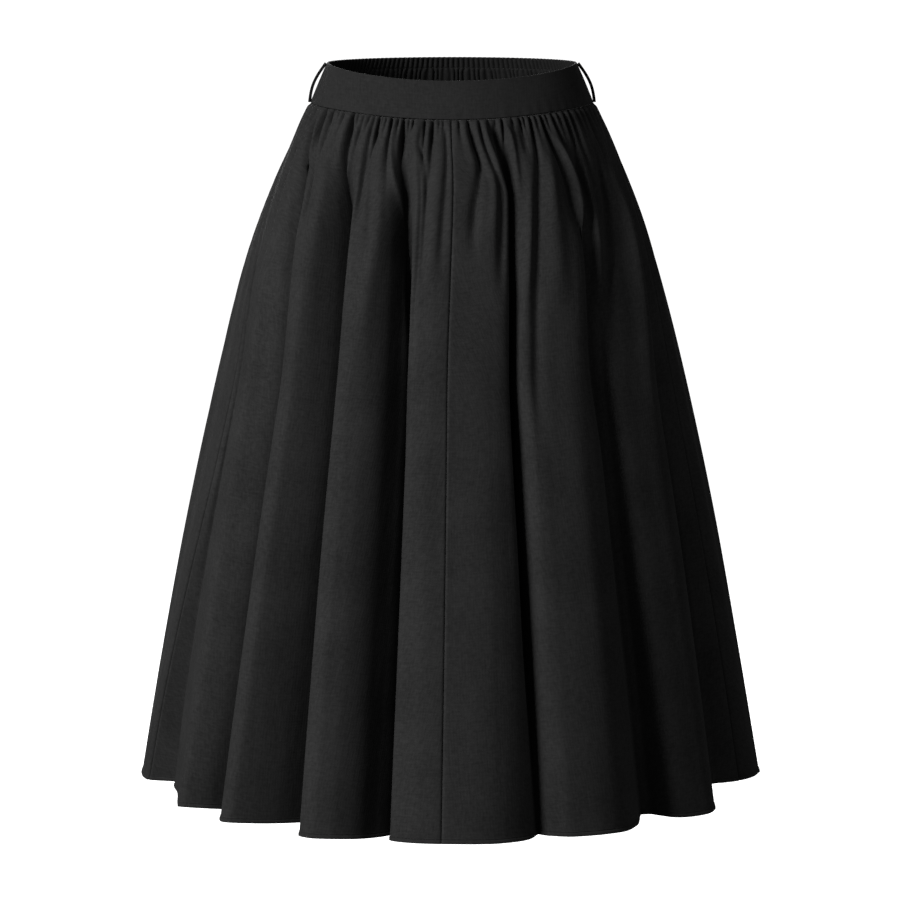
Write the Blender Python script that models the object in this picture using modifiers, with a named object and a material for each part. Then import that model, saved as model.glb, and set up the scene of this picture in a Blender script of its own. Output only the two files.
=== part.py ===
"""Gathered midi skirt, standing filled out as worn.

Metres, +Z up. The front faces -Y and the wearer's left is +X. The origin is the middle of the
waist, half way up the waistband at its sides. Bearings are degrees round the skirt: 0 at the
centre front, 90 at the wearer's left side, 180 at the centre back, -90 at the right side.
"""

import math
from collections import namedtuple

import bpy
import numpy as np

# Cloth and seams
SKIRT_WALL = 0.0012
BAND_WALL = 0.0024
LOOP_WALL = 0.0016
SEAM_GAP = 0.0003

# Heights, and how far the front of each edge dips below its sides
RIM_HEIGHT = 0.0213
RIM_DIP = 0.0130
RIM_DIP_POWER = 1.5
SEAM_HEIGHT = -0.0192
SEAM_DIP = 0.0098
SEAM_DIP_POWER = 2.4
HEM_HEIGHT = -0.7090

# Waistband rings, to the middle of the wall
FRONT_BAND_COLUMNS = 45
FRONT_BAND_ROWS = (0.0, 0.5, 1.0)
RIM_HALF_WIDTH = 0.1232
RIM_HALF_DEPTH = 0.0890
BAND_FOOT_HALF_WIDTH = 0.1404
BAND_FOOT_HALF_DEPTH = 0.1040

# Elastic casing of the back waistband
ELASTIC_RIBS = 75
ELASTIC_DEPTH = 0.0009
ELASTIC_FLATTENED = 3.0
ELASTIC_ROWS = (0.0, 0.27, 1.0)
COLUMNS_PER_WAVE = 4

# Sections of the skirt below the waist seam, to the middle of the cloth
Section = namedtuple("Section", "share half_width front_depth back_depth")
SECTIONS = (
    Section(0.000, 0.1409, 0.1045, 0.1045),
    Section(0.040, 0.1556, 0.1190, 0.1180),
    Section(0.112, 0.1782, 0.1420, 0.1390),
    Section(0.221, 0.2043, 0.1680, 0.1620),
    Section(0.368, 0.2306, 0.1960, 0.1870),
    Section(0.590, 0.2651, 0.2330, 0.2200),
    Section(0.814, 0.2959, 0.2660, 0.2490),
    Section(1.000, 0.3200, 0.2930, 0.2720),
)

# Large folds, from the right side round the front to the back. Bearings of a fold's first and
# last edge stand for the top, middle and hem, and so do the depths of the valley after it. Set
# is how far the two edges lie inside the section at the hem, crown how far the face between
# them swells out, and lap the degrees from the last edge on to the floor of the valley.
Fold = namedtuple("Fold", "name first last sets crown valley lap")
FOLDS = (
    Fold("right side", (-107, -97, -101), (-90, -70, -89), (0.008, 0.011), 0.008, (0.003, 0.009, 0.040), 2.5),
    Fold("right front 1", (-80, -67, -63), (-64, -52, -58), (0.014, 0.037), 0.003, (0.006, 0.018, 0.050), 2.2),
    Fold("right front 2", (-58, -48, -49), (-40, -33, -36), (0.018, 0.058), 0.025, (0.008, 0.031, 0.070), 1.8),
    Fold("right front 3", (-33, -29, -28), (-17, -14, -14.5), (0.005, 0.012), 0.011, (0.009, 0.036, 0.036), 2.8),
    Fold("centre front", (-10.5, -10.4, -11.2), (20, 14.5, 14), (0.014, 0.008), 0.014, (0.009, 0.027, 0.033), 3.2),
    Fold("left front 1", (27, 17.4, 18.3), (47, 38, 38.6), (0.027, 0.021), 0.022, (0.007, 0.025, 0.060), 7.9),
    Fold("left front 2", (53, 44, 48), (70, 61, 61.6), (0.056, 0.028), 0.012, (0.006, 0.027, 0.062), 21.0),
    Fold("left side", (84, 73, 85), (104, 97, 101), (0.052, 0.010), 0.026, (0.006, 0.018, 0.038), 4.0),
    Fold("left back 1", (109, 106, 108), (121, 118, 119), (0.012, 0.024), 0.012, (0.007, 0.022, 0.046), 2.4),
    Fold("left back 2", (127, 123, 124), (141, 140, 141), (0.008, 0.018), 0.014, (0.007, 0.026, 0.052), 2.0),
    Fold("left back 3", (147, 145, 146), (159, 157, 156), (0.010, 0.030), 0.012, (0.008, 0.020, 0.044), 2.2),
    Fold("centre back", (165, 163, 162), (183, 181, 182), (0.012, 0.014), 0.013, (0.007, 0.028, 0.040), 1.6),
    Fold("right back 3", (188, 185, 186), (202, 203, 203), (0.012, 0.026), 0.016, (0.008, 0.024, 0.056), 2.6),
    Fold("right back 2", (208, 208, 209), (221, 220, 221), (0.016, 0.016), 0.012, (0.007, 0.018, 0.042), 2.0),
    Fold("right back 1", (226, 226, 226), (238, 239, 240), (0.008, 0.022), 0.013, (0.007, 0.024, 0.050), 2.4),
    Fold("right back 0", (243, 245, 245), (249, 256, 254), (0.012, 0.012), 0.010, (0.005, 0.016, 0.036), 2.0),
)
FOLD_LEVELS = (0.05, 0.40, 1.00)
SET_GROWTH = (0.08, 0.38, 1.00)
FIRST_SHOULDER = 0.20
LAST_SHOULDER = 0.78
# Columns of the mesh at a fold's first edge, first shoulder, last shoulder, last edge and valley
FOLD_KNOTS = (0, 2, 5, 7, 9)
FOLD_COLUMNS = 11
FOLDS_FREE_BELOW = 0.11

# Panel seams, as columns counted from the first edge of the first fold
RIGHT_SIDE_COLUMN = 7
CENTRE_FRONT_COLUMN = 4 * FOLD_COLUMNS + 3
LEFT_SIDE_COLUMN = 7 * FOLD_COLUMNS + 2
SIDE_BEARING = 90.0

# Gathers under the waist seam
FRONT_RIGHT_GATHERS = 23
FRONT_LEFT_GATHERS = 22
BACK_GATHERS = 44
GATHER_DEPTH = 0.0017
GATHER_SHORTEST = 0.018
GATHER_LONGEST = 0.075
Uneven = namedtuple("Uneven", "share waves phase")
GATHER_SPACING = (Uneven(0.0080, 5, 1.0), Uneven(0.0040, 11, 2.0))
GATHER_LENGTH_TURN = 2.4
GATHERS_FLATTENED = 1.5

# Rows of the panels, as distances below the waist seam
GATHERED_ROWS = (0.0008, 0.009, 0.022, 0.040)
HANGING_ROWS = (0.064, 0.110, 0.170, 0.250, 0.340, 0.440, 0.555, 0.6895)

# How far from a point its neighbours are read for a normal: metres down, and columns across
ROW_PROBE = 0.0008
PROBE_COLUMNS = 0.25

# Points along a panel's waist seam from which the places of its gathers are read
SEAM_SAMPLES = 2001
SAME_COLUMN = 1e-9

# Belt loops
LOOP_WIDTH = 0.009
LOOP_BOW = 0.0062
LOOP_ROWS = 11
LOOP_COLUMNS = 3
LOOP_END = 0.0010

BLACK_COTTON = (0.012, 0.012, 0.012, 1.0)
BLACK_BAND = (0.016, 0.016, 0.016, 1.0)


def clear_scene():
    """Remove every object, so that the skirt starts from nothing."""
    for thing in list(bpy.data.objects):
        bpy.data.objects.remove(thing, do_unlink=True)


def new_collection(name):
    """Make the collection that holds the skirt."""
    collection = bpy.data.collections.new(name)
    bpy.context.scene.collection.children.link(collection)
    return collection


def cloth_material(name, colour, roughness):
    """Make a plain woven cloth material."""
    material = bpy.data.materials.new(name)
    material.use_nodes = True
    shader = material.node_tree.nodes["Principled BSDF"]
    shader.inputs["Base Color"].default_value = colour
    shader.inputs["Roughness"].default_value = roughness
    shader.inputs["Metallic"].default_value = 0.0
    return material


def smooth_table(knots, values, where):
    """Follow the rows of a short table smoothly, with no overshoot between them."""
    knots = np.asarray(knots, dtype=float)
    values = np.asarray(values, dtype=float)
    wide = (-1,) + (1,) * (values.ndim - 1)
    step = np.diff(knots).reshape(wide)
    slope = np.diff(values, axis=0) / step
    tangent = np.zeros_like(values)
    tangent[0] = slope[0]
    tangent[-1] = slope[-1]
    same_way = slope[:-1] * slope[1:] > 0.0
    total = np.where(same_way, slope[:-1] + slope[1:], 1.0)
    tangent[1:-1] = np.where(same_way, 2.0 * slope[:-1] * slope[1:] / total, 0.0)
    where = np.clip(np.asarray(where, dtype=float), knots[0], knots[-1])
    cell = np.clip(np.searchsorted(knots, where, side="right") - 1, 0, len(knots) - 2)
    width = step[cell]
    along = ((where - knots[cell]).reshape(wide)) / width
    start_weight = 2.0 * along**3 - 3.0 * along**2 + 1.0
    leave_weight = along**3 - 2.0 * along**2 + along
    arrive_weight = along**3 - along**2
    ends = values[cell] * start_weight + values[cell + 1] * (1.0 - start_weight)
    return ends + width * (tangent[cell] * leave_weight + tangent[cell + 1] * arrive_weight)


def smooth_step(value):
    """Rise from 0 to 1 with level ends."""
    value = np.clip(value, 0.0, 1.0)
    return value * value * (3.0 - 2.0 * value)


def front_share(bearing, power):
    """Be 1 at the centre front and fall to 0 at the sides and behind."""
    return np.clip(np.cos(np.radians(bearing)), 0.0, 1.0) ** power


def rim_height(bearing):
    """Height of the waistband's top edge."""
    return RIM_HEIGHT - RIM_DIP * front_share(bearing, RIM_DIP_POWER)


def seam_height(bearing):
    """Height of the seam between waistband and skirt."""
    return SEAM_HEIGHT - SEAM_DIP * front_share(bearing, SEAM_DIP_POWER)


def on_ring(bearing, half_width, front_depth, back_depth):
    """Points at bearings on a ring of two half ellipses, front and back."""
    turn = np.radians(bearing)
    depth = np.where(np.cos(turn) > 0.0, front_depth, back_depth)
    return np.stack((half_width * np.sin(turn), -depth * np.cos(turn)), axis=-1)


def sections_at(share):
    """Half width, front depth and back depth at shares of the drop."""
    shares = [section.share for section in SECTIONS]
    sizes = [section[1:] for section in SECTIONS]
    return smooth_table(shares, sizes, share)


def fold_controls(share):
    """Bearings and insets of the control points round the skirt, a row for each share."""
    growth = smooth_table(FOLD_LEVELS, SET_GROWTH, share)
    bearings = []
    insets = []
    for fold in FOLDS:
        first = smooth_table(FOLD_LEVELS, fold.first, share)
        last = smooth_table(FOLD_LEVELS, fold.last, share)
        valley = smooth_table(FOLD_LEVELS, fold.valley, share)
        for across in (0.0, FIRST_SHOULDER, LAST_SHOULDER, 1.0):
            bearings.append(first + across * (last - first))
            level = (1.0 - across) * fold.sets[0] + across * fold.sets[1]
            insets.append(growth * (level - 4.0 * across * (1.0 - across) * fold.crown))
        bearings.append(last + fold.lap * growth)
        insets.append(valley)
    return np.stack(bearings, axis=-1), np.stack(insets, axis=-1)


def top_bearing(column):
    """Bearing at which each column of cloth is sewn into the waist seam."""
    knots = []
    bearings = []
    for number, fold in enumerate(FOLDS):
        knots.append(number * FOLD_COLUMNS)
        bearings.append(fold.first[0])
    knots.append(LEFT_SIDE_COLUMN)
    bearings.append(SIDE_BEARING)
    knots.append(RIGHT_SIDE_COLUMN)
    bearings.append(-SIDE_BEARING)
    knots.append(len(FOLDS) * FOLD_COLUMNS)
    bearings.append(FOLDS[0].first[0] + 360.0)
    knots.append(len(FOLDS) * FOLD_COLUMNS + RIGHT_SIDE_COLUMN)
    bearings.append(360.0 - SIDE_BEARING)
    order = np.argsort(knots)
    return np.interp(column, np.array(knots)[order], np.array(bearings)[order])


def unit(vectors):
    """Vectors of length one."""
    return vectors / np.maximum(np.linalg.norm(vectors, axis=-1, keepdims=True), 1e-9)


def closed_curve(control, column):
    """Read a closed smooth curve through rows of control points at each column.

    The tangent at a control point halves the corner there, and is no longer than the slower of
    its two sides, so that a long flank never swings past a short face.
    """
    count = control.shape[1]
    length = len(FOLDS) * FOLD_COLUMNS
    knots = np.array([n * FOLD_COLUMNS + knot for n in range(len(FOLDS)) for knot in FOLD_KNOTS], dtype=float)
    step = np.diff(np.append(knots, length))
    rise = (np.roll(control, -1, axis=1) - control) / step[None, :, None]
    rise_before = np.roll(rise, 1, axis=1)
    pace = np.linalg.norm(rise, axis=-1, keepdims=True)
    slower = np.minimum(pace, np.roll(pace, 1, axis=1))
    tangent = 0.5 * (unit(rise) + unit(rise_before)) * slower
    wrapped = np.mod(column, length)
    cell = np.clip(np.searchsorted(knots, wrapped, side="right") - 1, 0, count - 1)
    after = (cell + 1) % count
    width = step[cell][None, :, None]
    along = ((wrapped - knots[cell]) / step[cell])[None, :, None]
    start_weight = 2.0 * along**3 - 3.0 * along**2 + 1.0
    leave_weight = (along**3 - 2.0 * along**2 + along) * width
    arrive_weight = (along**3 - along**2) * width
    ends = control[:, cell] * start_weight + control[:, after] * (1.0 - start_weight)
    return ends + tangent[:, cell] * leave_weight + tangent[:, after] * arrive_weight


def hanging_cloth(column, share):
    """Points of the folded cloth at columns and at shares of the drop, rows first."""
    sizes = sections_at(share)
    half_width = sizes[:, 0:1]
    front_depth = sizes[:, 1:2]
    back_depth = sizes[:, 2:3]
    bearing, inset = fold_controls(share)
    control = on_ring(bearing, half_width, front_depth, back_depth)
    control = control * (1.0 - inset / half_width)[..., None]
    folded = closed_curve(control, column)
    sewn_at = top_bearing(column)
    sewn = on_ring(sewn_at[None, :], half_width, front_depth, back_depth)
    free = smooth_step(share / FOLDS_FREE_BELOW)[:, None, None]
    plan = sewn + (folded - sewn) * free
    seam = seam_height(sewn_at)[None, :]
    height = seam + (HEM_HEIGHT - seam) * share[:, None]
    return np.concatenate((plan, height[..., None]), axis=-1)


def uneven_count(across, gathers):
    """Number of gathers from a panel's first seam, unevenly spaced, and their local crowding."""
    warped = np.array(across, dtype=float)
    crowding = np.ones_like(warped)
    for wave in GATHER_SPACING:
        rate = 2.0 * math.pi * wave.waves
        warped += wave.share * (np.sin(rate * across + wave.phase) - math.sin(wave.phase))
        crowding += wave.share * rate * np.cos(rate * across + wave.phase)
    return warped * gathers, crowding


def gathered_columns(first, last, gathers):
    """Columns of a panel at each crest, flank and trough of its gathers."""
    bearings = top_bearing(np.array([first, last], dtype=float))
    across = np.linspace(0.0, 1.0, SEAM_SAMPLES)
    counted, crowding = uneven_count(across, gathers)
    waves = np.arange(gathers * COLUMNS_PER_WAVE + 1) / COLUMNS_PER_WAVE
    share = np.interp(waves, counted, across)
    column = np.linspace(first, last, SEAM_SAMPLES)
    found = np.interp(bearings[0] + share * (bearings[1] - bearings[0]), top_bearing(column), column)
    found[0] = first
    found[-1] = last
    depth = GATHER_DEPTH / np.interp(share, across, np.maximum(crowding, 1.0))
    flat_seam = np.clip(np.minimum(waves, gathers - waves) / GATHERS_FLATTENED, 0.0, 1.0)
    return found, waves, depth * flat_seam


def gather_height(waves, depth, drop):
    """How far each gathered column stands out at a distance below the seam."""
    mix = 0.5 + 0.5 * np.sin(GATHER_LENGTH_TURN * np.floor(waves + 0.5))
    length = GATHER_SHORTEST + (GATHER_LONGEST - GATHER_SHORTEST) * mix
    return depth * np.cos(2.0 * math.pi * waves) * np.exp(-((drop / length) ** 2))


def outward(points):
    """Level unit vectors that point away from a row of points, square to the row."""
    along = np.gradient(points[:, :2], axis=0)
    return unit(np.stack((along[:, 1], -along[:, 0]), axis=-1))


def trim_ends(points, gap):
    """Draw the two end points of a row in by half a gap."""
    trimmed = points.copy()
    trimmed[0] += unit(points[1] - points[0]) * gap / 2.0
    trimmed[-1] += unit(points[-2] - points[-1]) * gap / 2.0
    return trimmed


def join_rows(upper, lower):
    """Faces between two rows of columns, quads where they match and triangles where not."""
    faces = []
    i = 0
    j = 0
    start = len(upper)
    while i < len(upper) - 1 or j < len(lower) - 1:
        last_upper = i == len(upper) - 1
        last_lower = j == len(lower) - 1
        if not last_upper and not last_lower and abs(upper[i + 1] - lower[j + 1]) < SAME_COLUMN:
            faces.append((i, start + j, start + j + 1, i + 1))
            i += 1
            j += 1
        elif last_lower or (not last_upper and upper[i + 1] < lower[j + 1]):
            faces.append((i, start + j, i + 1))
            i += 1
        else:
            faces.append((i, start + j, start + j + 1))
            j += 1
    return faces


def grid_faces(columns):
    """Faces of a sheet whose rows of points stand at the given columns."""
    faces = []
    offset = 0
    for upper, lower in zip(columns[:-1], columns[1:]):
        faces.extend(tuple(offset + corner for corner in face) for face in join_rows(upper, lower))
        offset += len(upper)
    return faces


def mesh_object(name, points, faces, material, collection):
    """Make an object from points and faces."""
    mesh = bpy.data.meshes.new(name)
    mesh.from_pydata(points.tolist(), [], faces)
    mesh.materials.append(material)
    mesh.shade_smooth()
    thing = bpy.data.objects.new(name, mesh)
    collection.objects.link(thing)
    return thing


def sheet_object(name, rows, columns, wall, material, collection):
    """Make a wall of even thickness about the rows of points."""
    thing = mesh_object(name, np.concatenate(rows), grid_faces(columns), material, collection)
    shell = thing.modifiers.new("Wall", "SOLIDIFY")
    shell.thickness = wall
    shell.offset = 0.0
    return thing


def hanging_row(column, drop, waves, depth):
    """Points of one row of cloth at a distance below the seam, gathers and all."""
    length = SEAM_HEIGHT - HEM_HEIGHT
    row = hanging_cloth(column, np.array([min(drop / length, 1.0)]))[0]
    row[:, :2] += outward(row) * gather_height(waves, depth, drop)[:, None]
    return row


def shared_normals(column, drop, waves, depth):
    """Unit vectors square to the cloth, the same on both sides of a panel seam."""
    length = SEAM_HEIGHT - HEM_HEIGHT
    drop = min(max(drop, ROW_PROBE), length - ROW_PROBE)
    beyond = np.concatenate(([column[0] - PROBE_COLUMNS], column, [column[-1] + PROBE_COLUMNS]))
    beyond_waves = np.pad(waves, 1, mode="edge")
    depths = np.pad(depth, 1)
    above = hanging_row(beyond, drop - ROW_PROBE, beyond_waves, depths)
    below = hanging_row(beyond, drop + ROW_PROBE, beyond_waves, depths)
    middle = (above + below) / 2.0
    step = unit(np.diff(middle, axis=0))
    return unit(np.cross(step[:-1] + step[1:], (above - below)[1:-1]))


def skirt_panel(name, first, last, gathers, material, collection):
    """Make one panel between two seam columns: gathered at the top, hanging in folds below.

    Its wall is built from normals that neighbouring panels share, so that the faces of a seam
    stay parallel where a fold turns there.
    """
    fine, fine_waves, depth = gathered_columns(first, last, gathers)
    plain = np.arange(first, last + 1, dtype=float)
    flat = np.zeros_like(plain)
    rows = [(drop, fine, fine_waves, depth) for drop in GATHERED_ROWS]
    rows += [(drop, plain, flat, flat) for drop in HANGING_ROWS]
    outer = []
    inner = []
    for drop, column, waves, depths in rows:
        middle = trim_ends(hanging_row(column, drop, waves, depths), SEAM_GAP)
        out = shared_normals(column, drop, waves, depths) * SKIRT_WALL / 2.0
        outer.append(middle + out)
        inner.append(middle - out)
    faces = grid_faces([row[1] for row in rows])
    count = sum(len(row[1]) for row in rows)
    inside = [tuple(corner + count for corner in reversed(face)) for face in faces]
    sides = {pair for face in faces for pair in zip(face, face[1:] + face[:1])}
    rim = [(b, a, a + count, b + count) for a, b in sorted(sides) if (b, a) not in sides]
    points = np.concatenate(outer + inner)
    return mesh_object(name, points, faces + inside + rim, material, collection)


def band_row(bearing, down, ripple):
    """One level row of the waistband, from its rim at 0 to its foot at 1."""
    half_width = RIM_HALF_WIDTH + (BAND_FOOT_HALF_WIDTH - RIM_HALF_WIDTH) * down
    half_depth = RIM_HALF_DEPTH + (BAND_FOOT_HALF_DEPTH - RIM_HALF_DEPTH) * down
    plan = on_ring(bearing, half_width, half_depth, half_depth)
    rim = rim_height(bearing)
    foot = seam_height(bearing) + SEAM_GAP
    height = rim + (foot - rim) * down
    row = np.concatenate((plan, height[:, None]), axis=1)
    row[:, :2] += outward(row) * ripple[:, None]
    return trim_ends(row, SEAM_GAP)


def front_waistband(material, collection):
    """Make the flat front band, from side to side."""
    bearing = np.linspace(-SIDE_BEARING, SIDE_BEARING, FRONT_BAND_COLUMNS)
    flat = np.zeros_like(bearing)
    rows = [band_row(bearing, down, flat) for down in FRONT_BAND_ROWS]
    columns = [bearing] * len(FRONT_BAND_ROWS)
    return sheet_object("front_waistband", rows, columns, BAND_WALL, material, collection)


def back_waistband(material, collection):
    """Make the elastic band behind, a casing drawn up into ribs."""
    count = ELASTIC_RIBS * COLUMNS_PER_WAVE
    wave = np.arange(count + 1) / COLUMNS_PER_WAVE
    bearing = SIDE_BEARING + (360.0 - 2.0 * SIDE_BEARING) * wave / ELASTIC_RIBS
    flat_seam = np.clip(np.minimum(wave, ELASTIC_RIBS - wave) / ELASTIC_FLATTENED, 0.0, 1.0)
    ripple = ELASTIC_DEPTH * np.cos(2.0 * math.pi * wave) * flat_seam
    rows = [band_row(bearing, down, ripple) for down in ELASTIC_ROWS]
    columns = [bearing] * len(ELASTIC_ROWS)
    return sheet_object("back_waistband", rows, columns, BAND_WALL, material, collection)


def belt_loop(name, side, material, collection):
    """Make a belt loop over a side seam of the band, bowed out between its two ends."""
    down = np.linspace(0.0, 1.0, LOOP_ROWS)
    height = RIM_HEIGHT - LOOP_END + (SEAM_HEIGHT - RIM_HEIGHT + 2.0 * LOOP_END) * down
    below_rim = (RIM_HEIGHT - height) / (RIM_HEIGHT - SEAM_HEIGHT)
    band = RIM_HALF_WIDTH + (BAND_FOOT_HALF_WIDTH - RIM_HALF_WIDTH) * below_rim
    seated = BAND_WALL / 2.0 + SEAM_GAP + LOOP_WALL / 2.0
    out = band + seated + LOOP_BOW * np.sin(math.pi * down)
    across = np.linspace(-LOOP_WIDTH / 2.0, LOOP_WIDTH / 2.0, LOOP_COLUMNS) * side
    rows = []
    for step in range(LOOP_ROWS):
        row = np.zeros((LOOP_COLUMNS, 3))
        row[:, 0] = side * out[step]
        row[:, 1] = across
        row[:, 2] = height[step]
        rows.append(row)
    numbers = np.arange(LOOP_COLUMNS)
    return sheet_object(name, rows, [numbers] * LOOP_ROWS, LOOP_WALL, material, collection)


def build():
    """Build every piece of the skirt."""
    clear_scene()
    collection = new_collection("gathered_midi_skirt")
    skirt = cloth_material("black_cotton_skirt", BLACK_COTTON, 0.85)
    band = cloth_material("black_cotton_band", BLACK_BAND, 0.80)
    elastic = cloth_material("black_cotton_casing", BLACK_COTTON, 0.85)
    loop = cloth_material("black_cotton_loop", BLACK_BAND, 0.80)
    back_end = len(FOLDS) * FOLD_COLUMNS + RIGHT_SIDE_COLUMN
    skirt_panel("front_panel_right", RIGHT_SIDE_COLUMN, CENTRE_FRONT_COLUMN, FRONT_RIGHT_GATHERS, skirt, collection)
    skirt_panel("front_panel_left", CENTRE_FRONT_COLUMN, LEFT_SIDE_COLUMN, FRONT_LEFT_GATHERS, skirt, collection)
    skirt_panel("back_panel", LEFT_SIDE_COLUMN, back_end, BACK_GATHERS, skirt, collection)
    front_waistband(band, collection)
    back_waistband(elastic, collection)
    belt_loop("belt_loop_right", -1.0, loop, collection)
    belt_loop("belt_loop_left", 1.0, loop, collection)


build()
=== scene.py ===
"""Gathered midi skirt: its looks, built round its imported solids.

Metres, +Z up. The front faces -Y and the wearer's left is +X. The origin is the middle of the waist.
Two numbers place a point of the cloth. Its column is counted round the skirt from the first edge of
the fold at the right side, eleven columns to a fold. Its share is 0 at the waist seam and 1 at the
hem. Bearings are degrees round the skirt, 0 at the centre front and 90 at the wearer's left side.
"""
import logging
import math
from dataclasses import dataclass
from enum import Enum
from typing import NamedTuple

import bpy
import numpy as np
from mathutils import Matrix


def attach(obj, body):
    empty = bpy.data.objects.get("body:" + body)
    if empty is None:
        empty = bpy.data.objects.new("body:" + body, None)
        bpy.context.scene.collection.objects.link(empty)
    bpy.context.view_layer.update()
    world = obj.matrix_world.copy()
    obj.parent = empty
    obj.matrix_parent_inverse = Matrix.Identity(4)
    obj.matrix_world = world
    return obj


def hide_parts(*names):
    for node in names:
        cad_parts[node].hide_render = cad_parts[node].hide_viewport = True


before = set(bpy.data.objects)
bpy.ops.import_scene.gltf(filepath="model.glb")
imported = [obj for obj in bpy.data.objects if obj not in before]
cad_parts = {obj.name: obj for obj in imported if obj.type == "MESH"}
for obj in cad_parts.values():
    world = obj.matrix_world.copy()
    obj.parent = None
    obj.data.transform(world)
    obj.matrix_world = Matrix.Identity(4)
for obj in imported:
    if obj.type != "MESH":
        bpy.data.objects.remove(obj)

LOG = logging.getLogger("skirt")
Array = np.ndarray
MM = 0.001


class Section(NamedTuple):
    """A level of the skirt: share of the drop, half width, and depths before and behind."""

    share: float
    half_width: float
    front_depth: float
    back_depth: float


class Fold(NamedTuple):
    """A large fold at three levels of the skirt.

    It has the bearings of its two edges, how far they are set inside the outline at the hem, the swell
    of its crown, how far the valley after it lies inside, and by how many degrees it laps that valley.
    """

    first: tuple[float, float, float]
    last: tuple[float, float, float]
    sets: tuple[float, float]
    crown: float
    valley: tuple[float, float, float]
    lap: float


SECTIONS = (
    Section(0.000, 0.1409, 0.1045, 0.1045),
    Section(0.040, 0.1556, 0.1190, 0.1180),
    Section(0.112, 0.1782, 0.1420, 0.1390),
    Section(0.221, 0.2043, 0.1680, 0.1620),
    Section(0.368, 0.2306, 0.1960, 0.1870),
    Section(0.590, 0.2651, 0.2330, 0.2200),
    Section(0.814, 0.2959, 0.2660, 0.2490),
    Section(1.000, 0.3200, 0.2930, 0.2720),
)

# From the wearer's right side over the front to the left side, then round the back.
FOLDS = (
    Fold((-107, -97, -101), (-90, -70, -89), (0.008, 0.011), 0.008, (0.003, 0.009, 0.040), 2.5),
    Fold((-80, -67, -63), (-64, -52, -58), (0.014, 0.037), 0.003, (0.006, 0.018, 0.050), 2.2),
    Fold((-58, -48, -49), (-40, -33, -36), (0.018, 0.058), 0.025, (0.008, 0.031, 0.070), 1.8),
    Fold((-33, -29, -28), (-17, -14, -14.5), (0.005, 0.012), 0.011, (0.009, 0.036, 0.036), 2.8),
    Fold((-10.5, -10.4, -11.2), (20, 14.5, 14), (0.014, 0.008), 0.014, (0.009, 0.027, 0.033), 3.2),
    Fold((27, 17.4, 18.3), (47, 38, 38.6), (0.027, 0.021), 0.022, (0.007, 0.025, 0.060), 7.9),
    Fold((53, 44, 48), (70, 61, 61.6), (0.056, 0.028), 0.012, (0.006, 0.027, 0.062), 21.0),
    Fold((84, 73, 85), (104, 97, 101), (0.052, 0.010), 0.026, (0.006, 0.018, 0.038), 4.0),
    Fold((109, 106, 108), (121, 118, 119), (0.012, 0.024), 0.012, (0.007, 0.022, 0.046), 2.4),
    Fold((127, 123, 124), (141, 140, 141), (0.008, 0.018), 0.014, (0.007, 0.026, 0.052), 2.0),
    Fold((147, 145, 146), (159, 157, 156), (0.010, 0.030), 0.012, (0.008, 0.020, 0.044), 2.2),
    Fold((165, 163, 162), (183, 181, 182), (0.012, 0.014), 0.013, (0.007, 0.028, 0.040), 1.6),
    Fold((188, 185, 186), (202, 203, 203), (0.012, 0.026), 0.016, (0.008, 0.024, 0.056), 2.6),
    Fold((208, 208, 209), (221, 220, 221), (0.016, 0.016), 0.012, (0.007, 0.018, 0.042), 2.0),
    Fold((226, 226, 226), (238, 239, 240), (0.008, 0.022), 0.013, (0.007, 0.024, 0.050), 2.4),
    Fold((243, 245, 245), (249, 256, 254), (0.012, 0.012), 0.010, (0.005, 0.016, 0.036), 2.0),
)


def smooth_table(knots: Array, values: Array, where: Array) -> Array:
    """Follow the rows of a short table: a cubic through them whose slopes never overshoot.

    Args:
        knots: the place of each row, rising.
        values: the rows.
        where: the places to read.

    Returns:
        One row of values for each place.
    """
    knots = np.asarray(knots, dtype=float)
    values = np.asarray(values, dtype=float)
    wide = (-1,) + (1,) * (values.ndim - 1)
    step = np.diff(knots).reshape(wide)
    slope = np.diff(values, axis=0) / step
    tangent = np.concatenate((slope[:1], np.zeros_like(values[1:-1]), slope[-1:]))
    same_way = slope[:-1] * slope[1:] > 0.0
    total = np.where(same_way, slope[:-1] + slope[1:], 1.0)
    tangent[1:-1] = np.where(same_way, 2.0 * slope[:-1] * slope[1:] / total, 0.0)
    where = np.clip(np.asarray(where, dtype=float), knots[0], knots[-1])
    cell = np.clip(np.searchsorted(knots, where, side="right") - 1, 0, len(knots) - 2)
    width = step[cell]
    along = (where - knots[cell]).reshape(wide) / width
    start, leave, arrive = cubic_weights(along)
    ends = values[cell] * start + values[cell + 1] * (1.0 - start)
    return ends + width * (tangent[cell] * leave + tangent[cell + 1] * arrive)


def cubic_weights(along: Array) -> tuple[Array, Array, Array]:
    """Weights of a cubic's start point, leaving slope and arriving slope, at shares of the way along."""
    return 2.0 * along**3 - 3.0 * along**2 + 1.0, along**3 - 2.0 * along**2 + along, along**3 - along**2


def smooth_step(value: Array) -> Array:
    """Rise from 0 to 1 with level ends: 3 v squared less 2 v cubed."""
    value = np.clip(value, 0.0, 1.0)
    return value * value * (3.0 - 2.0 * value)


def unit(vectors: Array) -> Array:
    """Scale vectors to length one."""
    return vectors / np.maximum(np.linalg.norm(vectors, axis=-1, keepdims=True), 1e-9)


def along_lengths(points: Array, axis: int) -> Array:
    """Add up the lengths of the steps between neighbouring points along one axis of a grid.

    Args:
        points: the grid.
        axis: 0 for down the grid and 1 for across it.

    Returns:
        The length from the grid's first row or column to each point.
    """
    steps = np.linalg.norm(np.diff(points, axis=axis), axis=-1)
    start = np.zeros_like(np.take(steps, [0], axis=axis))
    return np.concatenate((start, np.cumsum(steps, axis=axis)), axis=axis)


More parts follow.
